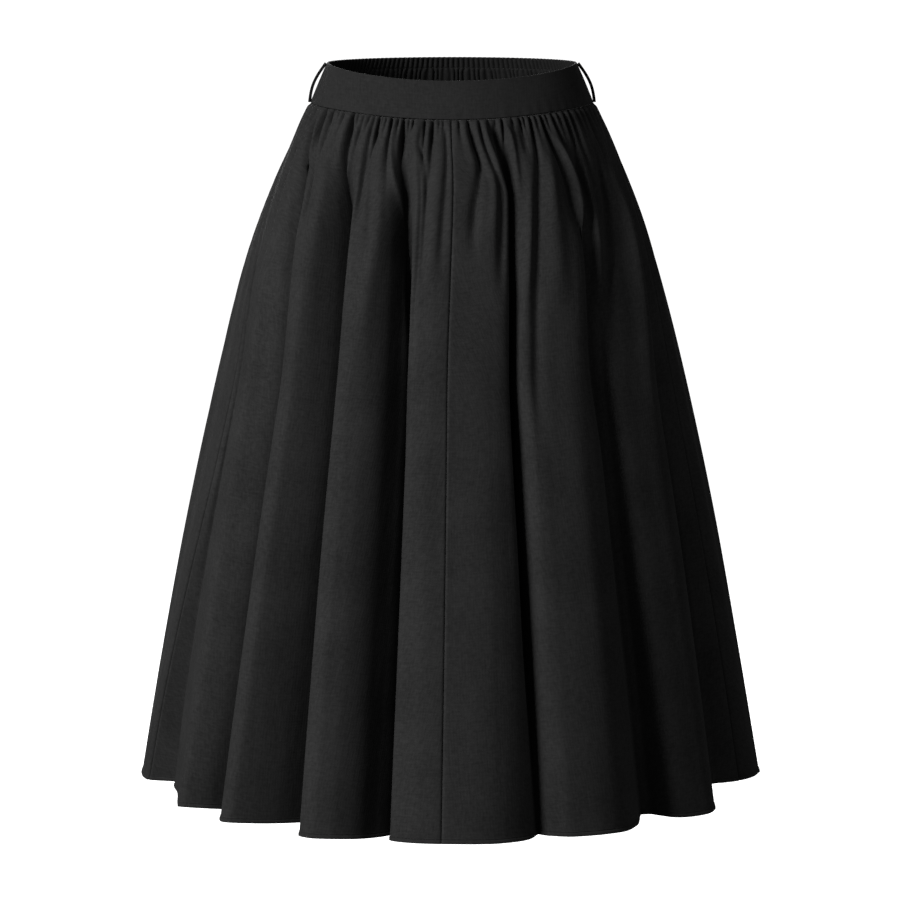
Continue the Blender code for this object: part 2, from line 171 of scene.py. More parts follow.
def grid_normals(points: Array) -> Array:
    """Unit normals of a grid: the step across crossed with the step up, so they point outwards.

    Args:
        points: the grid.

    Returns:
        A normal for each point.
    """
    across = np.gradient(points, axis=1)
    down = np.gradient(points, axis=0)
    return unit(np.cross(across, -down))


@dataclass(frozen=True)
class SkirtForm:
    """The hanging form of the skirt and its waist, in the sizes of its solids."""

    sections: tuple[Section, ...] = SECTIONS
    folds: tuple[Fold, ...] = FOLDS
    fold_levels: tuple[float, ...] = (0.05, 0.40, 1.00)
    set_growth: tuple[float, ...] = (0.08, 0.38, 1.00)
    shoulders: tuple[float, float] = (0.20, 0.78)
    fold_knots: tuple[int, ...] = (0, 2, 5, 7, 9)
    fold_columns: int = 11
    free_below: float = 0.11
    right_side_column: int = 7
    centre_front_column: int = 47
    left_side_column: int = 79
    first_behind: int = 8
    side_bearing: float = 90.0
    rim_height: float = 0.0213
    rim_dip: float = 0.0130
    rim_dip_power: float = 1.5
    seam_height: float = -0.0192
    seam_dip: float = 0.0098
    seam_dip_power: float = 2.4
    hem_height: float = -0.7090
    rim_half_width: float = 0.1232
    rim_half_depth: float = 0.0890
    foot_half_width: float = 0.1404
    foot_half_depth: float = 0.1040
    seam_gap: float = 0.0003

    @property
    def round_columns(self) -> int:
        """Columns all the way round."""
        return len(self.folds) * self.fold_columns

    @property
    def drop(self) -> float:
        """Height from the hem to the waist seam at the sides."""
        return self.seam_height - self.hem_height

    def dipped(self, bearing: Array, height: float, dip: float, power: float) -> Array:
        """Height of an edge that dips at the centre front by the cosine of the bearing to a power."""
        return height - dip * np.clip(np.cos(np.radians(bearing)), 0.0, 1.0) ** power

    def rim_at(self, bearing: Array) -> Array:
        """Height of the waistband's top edge."""
        return self.dipped(bearing, self.rim_height, self.rim_dip, self.rim_dip_power)

    def seam_at(self, bearing: Array) -> Array:
        """Height of the seam between waistband and skirt."""
        return self.dipped(bearing, self.seam_height, self.seam_dip, self.seam_dip_power)

    def on_ring(self, bearing: Array, half_width: Array, front: Array, back: Array) -> Array:
        """Points at bearings on two half ellipses, front and back.

        Args:
            bearing: the bearings.
            half_width: half the width of both.
            front: depth of the front one.
            back: depth of the back one.

        Returns:
            The points, as X and Y.
        """
        turn = np.radians(bearing)
        depth = np.where(np.cos(turn) > 0.0, front, back)
        return np.stack(np.broadcast_arrays(half_width * np.sin(turn), -depth * np.cos(turn)), axis=-1)

    def seam_bearing(self, column: Array) -> Array:
        """Bearing at which each column of cloth is sewn into the waist seam.

        Args:
            column: the columns.

        Returns:
            Their bearings. The two side seams are held at the sides.
        """
        count = self.round_columns
        knots = {number * self.fold_columns: fold.first[0] for number, fold in enumerate(self.folds)}
        knots[self.left_side_column] = self.side_bearing
        knots[self.right_side_column] = -self.side_bearing
        knots[count] = self.folds[0].first[0] + 360.0
        knots[count + self.right_side_column] = 360.0 - self.side_bearing
        places = sorted(knots)
        return np.interp(column, places, [knots[place] for place in places])

    def column_at(self, bearing: Array) -> Array:
        """Column that is sewn in at a bearing of the waist seam."""
        columns = np.arange(0.0, self.round_columns + self.fold_columns, 0.125)
        return np.interp(bearing, self.seam_bearing(columns), columns)

    def controls(self, share: Array) -> tuple[Array, Array]:
        """Bearings and insets of the points that steer the folds.

        Args:
            share: shares of the drop.

        Returns:
            Bearings and insets, a row for each share and five points to a fold: its two edges, its
            two shoulders, whose inset swells by 4 a (1 - a) of the crown, and the valley after it.
        """
        growth = smooth_table(self.fold_levels, self.set_growth, share)
        bearings = []
        insets = []
        for fold in self.folds:
            first, last, valley = (
                smooth_table(self.fold_levels, row, share) for row in (fold.first, fold.last, fold.valley)
            )
            for across in (0.0, *self.shoulders, 1.0):
                level = (1.0 - across) * fold.sets[0] + across * fold.sets[1]
                bearings.append(first + across * (last - first))
                insets.append(growth * (level - 4.0 * across * (1.0 - across) * fold.crown))
            bearings.append(last + fold.lap * growth)
            insets.append(valley)
        return np.stack(bearings, axis=-1), np.stack(insets, axis=-1)

    def closed_curve(self, control: Array, column: Array) -> Array:
        """Read a closed cubic curve through control points, its tangents halving each corner.

        Args:
            control: rows of control points.
            column: the columns to read in each row.

        Returns:
            A point for each column. A tangent is no longer than the slower of its two sides.
        """
        starts = np.arange(len(self.folds))[:, None] * float(self.fold_columns)
        knots = (starts + np.array(self.fold_knots)[None, :]).ravel()
        step = np.diff(np.append(knots, self.round_columns))
        rise = (np.roll(control, -1, axis=1) - control) / step[None, :, None]
        pace = np.linalg.norm(rise, axis=-1, keepdims=True)
        slower = np.minimum(pace, np.roll(pace, 1, axis=1))
        tangent = 0.5 * (unit(rise) + unit(np.roll(rise, 1, axis=1))) * slower
        wrapped = np.mod(column, self.round_columns)
        cell = np.clip(np.searchsorted(knots, wrapped, side="right") - 1, 0, len(knots) - 1)
        after = (cell + 1) % len(knots)
        row = np.arange(len(control))[:, None]
        width = step[cell][..., None]
        along = ((wrapped - knots[cell]) / step[cell])[..., None]
        start, leave, arrive = cubic_weights(along)
        ends = control[row, cell] * start + control[row, after] * (1.0 - start)
        return ends + width * (tangent[row, cell] * leave + tangent[row, after] * arrive)

    def points(self, column: Array, share: Array) -> Array:
        """Points of the folded cloth, to the middle of its wall.

        Args:
            column: columns, a row of them for each share.
            share: shares of the drop.

        Returns:
            The points. The plan goes from the sewn ring to the folded curve over free_below.
        """
        levels = [section.share for section in self.sections]
        sizes = smooth_table(levels, [section[1:] for section in self.sections], share)
        half_width, front, back = (sizes[:, i : i + 1] for i in range(3))
        bearing, inset = self.controls(share)
        control = self.on_ring(bearing, half_width, front, back) * (1.0 - inset / half_width)[..., None]
        folded = self.closed_curve(control, column)
        sewn_at = self.seam_bearing(column)
        sewn = self.on_ring(sewn_at, half_width, front, back)
        free = smooth_step(share / self.free_below)[:, None, None]
        plan = sewn + (folded - sewn) * free
        seam = self.seam_at(sewn_at)
        height = seam + (self.hem_height - seam) * share[:, None]
        return np.concatenate((plan, height[..., None]), axis=-1)

    def band_points(self, bearing: Array, down: Array) -> Array:
        """Points of the waistband, to the middle of its wall: straight from its rim ring to its foot.

        Args:
            bearing: bearings, one for each column.
            down: 0 at the rim and 1 at the foot, one for each row.

        Returns:
            The points, a row for each place down.
        """
        down = down[:, None]
        bearing = bearing[None, :]
        half_width = self.rim_half_width + (self.foot_half_width - self.rim_half_width) * down
        half_depth = self.rim_half_depth + (self.foot_half_depth - self.rim_half_depth) * down
        plan = self.on_ring(bearing, half_width, half_depth, half_depth)
        rim = self.rim_at(bearing)
        height = rim + (self.seam_at(bearing) + self.seam_gap - rim) * down
        return np.concatenate((plan, height[..., None]), axis=-1)


def linear(hex_colour: str) -> tuple[float, float, float, float]:
    """Turn an sRGB hex colour into linear values with full opacity.

    Args:
        hex_colour: a hash and six hex digits.

    Returns:
        Red, green, blue and opacity.
    """
    shares = [int(hex_colour[i : i + 2], 16) / 255.0 for i in (1, 3, 5)]
    red, green, blue = (s / 12.92 if s <= 0.04045 else ((s + 0.055) / 1.055) ** 2.4 for s in shares)
    return red, green, blue, 1.0


def add_node(
    tree: bpy.types.NodeTree,
    kind: str,
    settings: dict[str, object] | None = None,
    links: dict[str, object] | None = None,
) -> bpy.types.Node:
    """Add a node with its settings and links.

    Args:
        tree: the tree that takes it.
        kind: the node's type.
        settings: attributes of the node, or names or numbers of inputs, and their values.
        links: names or numbers of inputs, and the output that each takes.

    Returns:
        The new node.
    """
    node = tree.nodes.new(kind)
    for name, value in (settings or {}).items():
        if isinstance(name, str) and hasattr(node, name):
            setattr(node, name, value)
        else:
            node.inputs[name].default_value = value
    for name, output in (links or {}).items():
        tree.links.new(output, node.inputs[name])
    return node


def new_finish(name: str, settings: dict[str, object]) -> tuple[bpy.types.Material, bpy.types.Node]:
    """Start a material and set the numbers of its shader.

    Args:
        name: the material's name.
        settings: names of the shader's inputs and their values.

    Returns:
        The material and its shader.
    """
    material = bpy.data.materials.new(name)
    material.use_nodes = True
    shader = material.node_tree.nodes["Principled BSDF"]
    for socket, value in settings.items():
        shader.inputs[socket].default_value = value
    return material, shader


def band_scale(spacing_mm: float) -> float:
    """Scale at which a wave texture's bands lie a given distance apart: it has 20 waves to 2 pi metres."""
    return 0.5 * math.pi / 10.0 / (spacing_mm * MM)


@dataclass(frozen=True)
class WovenCotton:
    """Black cotton in plain weave, piece dyed: matte, with a soft edge sheen and slightly uneven threads.

    The threads are 0.35 mm apart in the cloth. They are drawn four times as coarse, because finer ones
    do not show from a step away. The slubs, thicker lengths of thread, give the eye its faint flecks,
    and the cockles its faint lengthwise unevenness.
    """

    name: str
    base: str
    fleck: str
    thread_mm: float = 1.4
    thread_share: float = 0.5
    thread_wander: float = 1.2
    slub_mm: float = 2.2
    slub_stretch: float = 3.5
    cloud_mm: float = 60.0
    cloud_share: float = 0.8
    cockle_mm: tuple[float, float] = (8.0, 42.0)
    cockle_share: float = 3.0
    relief_mm: float = 0.10
    tone_range: tuple[float, float] = (1.05, 1.75)
    mottle_range: tuple[float, float] = (0.7, 1.3)
    roughness: float = 0.82
    roughness_swing: float = 0.06
    specular: float = 0.16
    sheen: float = 0.05
    sheen_roughness: float = 0.45

    def grain(
        self, place: bpy.types.NodeSocket, size_mm: tuple[float, float], detail: float, roughness: float
    ) -> bpy.types.NodeSocket:
        """Draw unevenness whose grains have a width and a length.

        Args:
            place: the place on the cloth.
            size_mm: width and length of a grain.
            detail: how many finer sizes are added.
            roughness: how strong the finer sizes are.

        Returns:
            Its strength.
        """
        tree = place.id_data
        scale = (1.0 / (size_mm[0] * MM), 1.0 / (size_mm[1] * MM), 1.0)
        drawn = add_node(tree, "ShaderNodeMapping", {"Scale": scale}, {"Vector": place}).outputs["Vector"]
        settings = {"Scale": 1.0, "Detail": detail, "Roughness": roughness}
        return add_node(tree, "ShaderNodeTexNoise", settings, {"Vector": drawn}).outputs["Fac"]

    def sum_of(
        self, first: bpy.types.NodeSocket, second: bpy.types.NodeSocket, share: float
    ) -> bpy.types.NodeSocket:
        """Add a share of one strength to another."""
        settings = {"operation": "MULTIPLY_ADD", 1: share}
        return add_node(first.id_data, "ShaderNodeMath", settings, {0: first, 2: second}).outputs["Value"]

    def woven(self, place: bpy.types.NodeSocket) -> bpy.types.NodeSocket:
        """Cross two sets of threads: the product of a wave across and a wave down.

        Args:
            place: the place on the cloth.

        Returns:
            How high the weave stands.
        """
        tree = place.id_data
        bands = {"wave_type": "BANDS", "Scale": band_scale(self.thread_mm)}
        bands.update({"Distortion": self.thread_wander, "Detail": 1.0})
        warp, weft = (
            add_node(tree, "ShaderNodeTexWave", {**bands, "bands_direction": way}, {"Vector": place})
            for way in ("X", "Y")
        )
        crossed = {0: warp.outputs["Fac"], 1: weft.outputs["Fac"]}
        return add_node(tree, "ShaderNodeMath", {"operation": "MULTIPLY"}, crossed).outputs["Value"]

    def material(self) -> bpy.types.Material:
        """Build the finish on the piece's own map, whose unit is a metre of cloth.

        Returns:
            The material.
        """
        settings = {"Metallic": 0.0, "IOR": 1.5, "Specular IOR Level": self.specular}
        settings.update({"Sheen Weight": self.sheen, "Sheen Roughness": self.sheen_roughness})
        material, shader = new_finish(self.name, settings)
        tree = material.node_tree
        place = add_node(tree, "ShaderNodeUVMap", {"uv_map": "Cloth"}).outputs["UV"]
        long_slub = self.slub_mm * self.slub_stretch
        upright = self.grain(place, (self.slub_mm, long_slub), 3.0, 0.6)
        level = self.grain(place, (long_slub, self.slub_mm), 3.0, 0.6)
        mottle = self.sum_of(upright, level, 1.0)
        cloud = self.grain(place, (self.cloud_mm, self.cloud_mm), 2.0, 0.5)
        blended = self.sum_of(cloud, mottle, self.cloud_share)
        low, high = self.tone_range
        tone = add_node(tree, "ShaderNodeMapRange", {"From Min": low, "From Max": high}, {"Value": blended})
        colours = {"data_type": "RGBA", 6: linear(self.base), 7: linear(self.fleck)}
        colour = add_node(tree, "ShaderNodeMix", colours, {0: tone.outputs["Result"]})
        tree.links.new(colour.outputs[2], shader.inputs["Base Color"])
        low, high = self.mottle_range
        levels = {"From Min": low, "From Max": high}
        levels["To Min"] = self.roughness + self.roughness_swing
        levels["To Max"] = self.roughness - self.roughness_swing
        rough = add_node(tree, "ShaderNodeMapRange", levels, {"Value": mottle})
        tree.links.new(rough.outputs["Result"], shader.inputs["Roughness"])
        threads = self.sum_of(self.woven(place), mottle, self.thread_share)
        height = self.sum_of(self.grain(place, self.cockle_mm, 2.0, 0.45), threads, self.cockle_share)
        relief = {"Strength": 1.0, "Distance": self.relief_mm * MM}
        bump = add_node(tree, "ShaderNodeBump", relief, {"Height": height})
        tree.links.new(bump.outputs["Normal"], shader.inputs["Normal"])
        return material


@dataclass(frozen=True)
class SewingThread:
    """Black spun polyester thread: a small dull highlight on each stitch."""

    name: str = "black_spun_thread"
    base: str = "#1b1b1c"
    ply_mm: float = 0.5
    relief_mm: float = 0.05
    twist_strength: float = 0.6
    roughness: float = 0.5

    def material(self) -> bpy.types.Material:
        """Build the finish, with the twist of its plies as fine bands.

        Returns:
            The material.
        """
        settings = {"Base Color": linear(self.base), "Roughness": self.roughness}
        material, shader = new_finish(self.name, settings)
        tree = material.node_tree
        place = add_node(tree, "ShaderNodeTexCoord").outputs["Object"]
        bands = {"bands_direction": "DIAGONAL", "Scale": band_scale(self.ply_mm)}
        plies = add_node(tree, "ShaderNodeTexWave", bands, {"Vector": place})
        relief = {"Strength": self.twist_strength, "Distance": self.relief_mm * MM}
        bump = add_node(tree, "ShaderNodeBump", relief, {"Height": plies.outputs["Fac"]})
        tree.links.new(bump.outputs["Normal"], shader.inputs["Normal"])
        return material


@dataclass(frozen=True)
class StudioPaper:
    """Matte white studio paper: pale and even, without a highlight."""

    name: str = "white_studio_paper"
    base: str = "#f2f2f2"
    glow: float = 1.05
    roughness: float = 0.95

    def material(self) -> bpy.types.Material:
        """Build the finish, a little lit from within as a washed-out backdrop is.

        Returns:
            The material.
        """
        settings = {"Base Color": linear(self.base), "Roughness": self.roughness, "Specular IOR Level": 0.0}
        settings.update({"Emission Color": linear("#ffffff"), "Emission Strength": self.glow})
        return new_finish(self.name, settings)[0]


def mesh_object(
    name: str, points: Array, quads: Array, maps: Array | None, material: bpy.types.Material
) -> bpy.types.Object:
    """Make a smooth object from points and four-sided faces.

    Args:
        name: the object's name.
        points: its points.
        quads: point numbers, four to a face.
        maps: a place on the cloth in metres for each point, or none.
        material: its finish.

    Returns:
        The object, at the origin.
    """
    mesh = bpy.data.meshes.new(name)
    mesh.vertices.add(len(points))
    mesh.vertices.foreach_set("co", np.ascontiguousarray(points, dtype=np.float32).ravel())
    mesh.loops.add(quads.size)
    mesh.loops.foreach_set("vertex_index", np.ascontiguousarray(quads, dtype=np.int32).ravel())
    mesh.polygons.add(len(quads))
    mesh.polygons.foreach_set("loop_start", np.arange(0, quads.size, 4, dtype=np.int32))
    mesh.update(calc_edges=True)
    if maps is not None:
        layer = mesh.uv_layers.new(name="Cloth")
        layer.uv.foreach_set("vector", np.ascontiguousarray(maps[quads.ravel()], dtype=np.float32).ravel())
    mesh.materials.append(material)
    mesh.shade_smooth()
    thing = bpy.data.objects.new(name, mesh)
    bpy.context.scene.collection.objects.link(thing)
    return thing


def grid_quads(rows: int, columns: int, start: int = 0) -> Array:
    """Number the faces of a grid of points so that they face where grid_normals points."""
    corner = start + np.arange(rows - 1)[:, None] * columns + np.arange(columns - 1)[None, :]
    return np.stack((corner, corner + columns, corner + columns + 1, corner + 1), axis=-1).reshape(-1, 4)


@dataclass
class Cloth:
    """A wall of cloth on a grid: points of its middle, and how far its two faces lie from them."""

    middle: Array
    outer: Array
    inner: Array

    def faces(self) -> tuple[Array, Array]:
        """Points of the outer and the inner face."""
        out = grid_normals(self.middle)
        return self.middle + out * self.outer[..., None], self.middle - out * self.inner[..., None]

    def shell(self, name: str, material: bpy.types.Material) -> bpy.types.Object:
        """Make the closed wall: outer face, inner face turned round, and a strip along each edge.

        Args:
            name: the object's name.
            material: its finish.

        Returns:
            The object, with a map in metres of cloth from the middle of its top edge.
        """
        rows, columns = self.middle.shape[:2]
        outside, inside = self.faces()
        count = rows * columns
        number = np.arange(count).reshape(rows, columns)
        ring = np.concatenate((number[0, :-1], number[:-1, -1], number[-1, :0:-1], number[:0:-1, 0]))
        after = np.roll(ring, -1)
        rim = np.stack((ring, after, after + count, ring + count), axis=-1)
        front = grid_quads(rows, columns)
        quads = np.concatenate((front, front[:, ::-1] + count, rim))
        across = along_lengths(self.middle, 1)
        across -= across[:, columns // 2, None]
        maps = np.stack((across, -along_lengths(self.middle, 0)), axis=-1).reshape(-1, 2)
        points = np.concatenate((outside.reshape(-1, 3), inside.reshape(-1, 3)))
        return mesh_object(name, points, quads, np.concatenate((maps, maps)), material)


def rounded(distance: Array, radius: float) -> Array:
    """How far a quarter-round edge falls away: nothing from radius on, and radius at the edge."""
    inside = np.clip(1.0 - distance / radius, 0.0, 1.0)
    return radius * (1.0 - np.sqrt(1.0 - inside * inside))


@dataclass
class StitchLine:
    """A run of machine stitches on a path: short spindles of thread that rise from their holes."""

    name: str
    slot: str
    length: float = 0.0024
    pitch: float = 0.0031
    radius: float = 0.00022
    rise: float = 0.00016
    stations: tuple[float, ...] = (0.0, 0.2, 0.5, 0.8, 1.0)
    girths: tuple[float, ...] = (0.4, 0.9, 1.0, 0.9, 0.4)
    sides: int = 6

    def build(self, path: Array, out: Array, material: bpy.types.Material) -> bpy.types.Object:
        """Lay the stitches: rings round a bowed centre line at each stitch's stations, closed by caps.

        Args:
            path: points of the surface that is sewn.
            out: its outward unit vectors there.
            material: the thread's finish.

        Returns:
            The object, riding with the cloth.
        """
        length = along_lengths(path, 0)
        count = int((length[-1] - self.length) / self.pitch)
        left_over = length[-1] - (count - 1) * self.pitch - self.length
        start = left_over / 2.0 + self.pitch * np.arange(count)
        share = np.array(self.stations)
        place = start[:, None] + share[None, :] * self.length
        centre = np.stack([np.interp(place, length, path[:, i]) for i in range(3)], axis=-1)
        away = unit(np.stack([np.interp(place, length, out[:, i]) for i in range(3)], axis=-1))
        centre = centre + away * (self.rise * (2.0 * np.sin(math.pi * share) - 1.0))[None, :, None]
        along = unit(centre[:, -1] - centre[:, 0])[:, None, :]
        beside = unit(np.cross(np.broadcast_to(along, away.shape), away))
        turn = 2.0 * math.pi * np.arange(self.sides) / self.sides
        girth = self.radius * np.array(self.girths)[None, :, None, None]
        spoke = np.cos(turn)[:, None] * away[:, :, None, :] + np.sin(turn)[:, None] * beside[:, :, None, :]
        points = (centre[:, :, None, :] + girth * spoke).reshape(-1, 3)
        rings = len(share)
        number = np.arange(rings * self.sides).reshape(rings, self.sides)
        after = np.roll(number, -1, axis=1)
        wall = np.stack((number[:-1], after[:-1], after[1:], number[1:]), axis=-1).reshape(-1, 4)
        first, last = number[0], number[-1]
        caps = np.array([first[[3, 2, 1, 0]], first[[5, 4, 3, 0]], last[[0, 1, 2, 3]], last[[0, 3, 4, 5]]])
        one = np.concatenate((wall, caps))
        quads = (np.arange(count)[:, None, None] * number.size + one[None]).reshape(-1, 4)
        thing = mesh_object(self.name, points, quads, None, material)
        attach(thing, "root")
        return thing


class CreaseKind(Enum):
    """Which way a crease stands: sunk, raised, or raised on its right edge and sunk on its left."""

    TROUGH = "trough"
    RIDGE = "ridge"
    LAP = "lap"


class Crease(NamedTuple):
    """A soft crease: shares and columns of its route, depth, and widths at its top and its foot."""

    kind: CreaseKind
    depth_mm: float
    width_mm: tuple[float, float]
    route: tuple[tuple[float, float], ...]


class Face(NamedTuple):
    """How a fold's face lies off its plain form: a column, and how far inside it is at three levels."""

    column: float
    inward_mm: tuple[float, float, float]


class Gather(NamedTuple):
    """A gather under the waist seam: its bearing, depth and length, and how far its foot drifts left."""

    bearing: float
    depth_mm: float
    length_mm: float
    lean_mm: float


class Ripple(NamedTuple):
    """A slow unevenness: columns from crest to crest, length of its sway down, height and start."""

    columns: float
    sway_mm: float
    height_mm: float
    start: float


FACE_LEVELS = (0.22, 0.50, 1.00)
RIPPLES = (
    Ripple(1.9, 310.0, 0.14, 0.4),
    Ripple(3.1, 430.0, 0.30, 2.1),
    Ripple(5.3, 520.0, 0.45, 3.7),
)


@dataclass
class SkirtPanel:
    """One gathered panel of the skirt: its seams, its cut, its gathers and its creases."""

    name: str
    form: SkirtForm
    first_column: int
    last_column: int
    gathers: tuple[Gather, ...]
    creases: tuple[Crease, ...]
    faces: tuple[Face, ...]
    columns_between: int = 270
    rows_gathered: int = 34
    rows_hanging: int = 90
    cut_top: float = 0.33
    cut_hem: float = 0.66
    cut_length: float = 0.70
    hangs_from: str = "front_waistband_cloth"
    wall: float = 0.0008
    seam_radius: float = 0.0026
    top_radius: float = 0.0008
    seam_allowance: float = 0.0030
    side_rows_mm: tuple[float, ...] = (0.15, 0.40, 0.80, 1.3, 2.0, 2.8)
    top_rows_mm: tuple[float, ...] = (0.15, 0.35, 0.60, 1.0, 1.6, 2.4)
    hem_rows_mm: tuple[float, ...] = (9.0, 7.0, 5.8, 5.2, 4.7, 4.3, 4.0, 3.7, 3.3, 2.6, 1.6, 0.8, 0.3, 0.0)
    gathered_drop: float = 0.055
    gather_gain: float = 1.9
    gather_width: float = 0.0011
    gather_spread: float = 0.060
    gather_start: tuple[float, float] = (0.55, 0.004)
    gather_fade: float = 1.6
    gather_bell: float = 1.5
    lean_until: float = 1.5
    puff: float = 0.0016
    puff_drop: float = 0.030
    puff_reach: float = 0.4
    crease_fades: tuple[float, float] = (0.25, 0.35)
    crease_hold: tuple[float, float] = (0.12, 0.016)
    lap_gain: float = 1.6
    faces_from: float = 0.05
    faces_over: float = 0.15
    ripple_sway: float = 0.6
    ripple_drop: float = 0.08
    calm_width: float = 0.006
    settles: float = 0.14
    hem_depth: float = 0.0052
    hem_lift: float = 0.0009
    hem_edge: float = 0.0006
    hem_round: float = 0.8
    turned_parts: tuple[float, float] = (0.4, 1.0)
    stitch_above_hem: float = 0.0040
    stitch_groove: float = 1.2

    def shares(self) -> Array:
        """Rows of the grid: close under the seam and over the hem, wider between.

        Returns:
            Shares of the drop, rising.
        """
        seam = np.array(self.top_rows_mm) * MM
        hem = np.array(self.hem_rows_mm) * MM
        upper = np.linspace(seam[-1], self.gathered_drop, self.rows_gathered + 1)[1:]
        lower = np.linspace(self.gathered_drop, self.form.drop - hem[0], self.rows_hanging + 1)[1:-1]
        return np.concatenate((seam, upper, lower, self.form.drop - hem)) / self.form.drop

    def gathered(self, drop: Array, across: Array, columns: Array) -> Array:
        """How far the gathers sink or lift the cloth.

        A gather is a narrow trough under the seam that widens and fades on its way down, and the
        cloth between the troughs puffs out. Both are bells: e to the minus a power of the reach.

        Args:
            drop: how far each row lies under the seam.
            across: lengths along each row.
            columns: columns of each row.

        Returns:
            The height of each point.
        """
        bearings, depths, lengths, leans = np.array(self.gathers).T
        route = self.form.column_at(bearings)
        index = np.stack([np.interp(route, row, np.arange(len(row))) for row in columns])
        whole = np.minimum(index.astype(int), columns.shape[1] - 2)
        row = np.arange(len(columns))[:, None]
        start = across[row, whole]
        place = start + (across[row, whole + 1] - start) * (index - whole)
        at_seam, full_at = self.gather_start
        leaves_seam = smooth_step(drop / full_at)
        height = np.zeros_like(across)
        nearest = np.full_like(across, np.inf)
        for number in range(len(self.gathers)):
            down = drop / (lengths[number] * MM)
            centre = place[:, number] + leans[number] * MM * np.minimum(down, self.lean_until)
            width = self.gather_width + self.gather_spread * drop
            fade = (at_seam + (1.0 - at_seam) * leaves_seam) * np.exp(-(down**self.gather_fade))
            reach = np.abs(across - centre[:, None]) / width[:, None]
            depth = self.gather_gain * depths[number] * MM * fade
            height -= depth[:, None] * np.exp(-(reach**self.gather_bell))
            nearest = np.minimum(nearest, reach)
        lift = self.puff * leaves_seam * np.exp(-((drop / self.puff_drop) ** 2))
        return height + lift[:, None] * (1.0 - np.exp(-self.puff_reach * nearest * nearest))

    def creased(self, share: Array, across: Array, columns: Array) -> Array:
        """How far the listed creases sink or lift the cloth: bells across each route.

        Args:
            share: shares of the drop, one for each row.
            across: lengths along each row.
            columns: columns of each row.

        Returns:
            The height of each point.
        """
        height = np.zeros_like(across)
        fade_in, fade_out = self.crease_fades
        for crease in self.creases:
            shares, places = np.array(crease.route).T
            centre_column = smooth_table(shares, places, share)
            centre = np.array([np.interp(c, row, a) for c, row, a in zip(centre_column, columns, across)])
            along = (share - shares[0]) / (shares[-1] - shares[0])
            fade = np.ones_like(along)
            if shares[0] > 0.0:
                fade *= smooth_step(along / fade_in)
            if shares[-1] < 1.0:
                fade *= smooth_step((1.0 - along) / fade_out)
            top, foot = crease.width_mm
            width = (top + (foot - top) * np.clip(along, 0.0, 1.0)) * MM
            reach = (across - centre[:, None]) / width[:, None]
            bell = np.exp(-(reach**2))
            lap = -self.lap_gain * reach * bell
            shape = {CreaseKind.TROUGH: -bell, CreaseKind.RIDGE: bell, CreaseKind.LAP: lap}
            height += (crease.depth_mm * MM * fade)[:, None] * shape[crease.kind]
        at_seam, free_at = self.crease_hold
        held = at_seam + (1.0 - at_seam) * smooth_step(share * self.form.drop / free_at)
        return height * held[:, None]

    def faced(self, share: Array, columns: Array) -> Array:
        """How far the faces of the large folds lie off their plain form, down from the gathers.

        Args:
            share: shares of the drop, one for each row.
            columns: columns of each row.

        Returns:
            How far out each point lies, read from the table of faces.
        """
        places = [face.column for face in self.faces]
        inward = smooth_table(FACE_LEVELS, np.array([face.inward_mm for face in self.faces]).T, share)
        height = np.array([smooth_table(places, depths, row) for depths, row in zip(inward, columns)])
        return -MM * height * smooth_step((share - self.faces_from) / self.faces_over)[:, None]

    def rippled(self, drop: Array, columns: Array) -> Array:
        """Slow unevenness of the cloth: sines along the columns that sway a little on the way down.

        Args:
            drop: how far each row lies under the seam.
            columns: columns of each row.

        Returns:
            The height of each point.
        """
        height = np.zeros_like(columns)
        down = drop[:, None]
        for ripple in RIPPLES:
            sway = self.ripple_sway * np.sin(2.0 * math.pi * down / (ripple.sway_mm * MM) + ripple.start)
            phase = 2.0 * math.pi * columns / ripple.columns + ripple.start + sway
            height += ripple.height_mm * MM * np.sin(phase)
        return height * smooth_step(down / self.ripple_drop)

    def columns_of(self, share: Array) -> Array:
        """Columns of the grid: close together beside both seams and even between them.

        Args:
            share: shares of the drop, one for each row.

        Returns:
            The columns of each row. The close ones are a few real distances from the seam.
        """
        ends = np.tile([float(self.first_column), float(self.last_column)], (len(share), 1))
        probe = 0.1
        before = self.form.points(ends + [[0.0, -probe]], share)
        after = self.form.points(ends + [[probe, 0.0]], share)
        pace = np.linalg.norm(after - before, axis=-1) / probe
        steps = np.array(self.side_rows_mm)[None, :] * MM
        near = ends[:, 0, None] + steps / pace[:, 0, None]
        far = ends[:, 1, None] - steps[:, ::-1] / pace[:, 1, None]
        inner_share = np.linspace(0.0, 1.0, self.columns_between + 2)[1:-1]
        between = near[:, -1:] + inner_share * (far[:, :1] - near[:, -1:])
        return np.concatenate((near, between, far), axis=1)

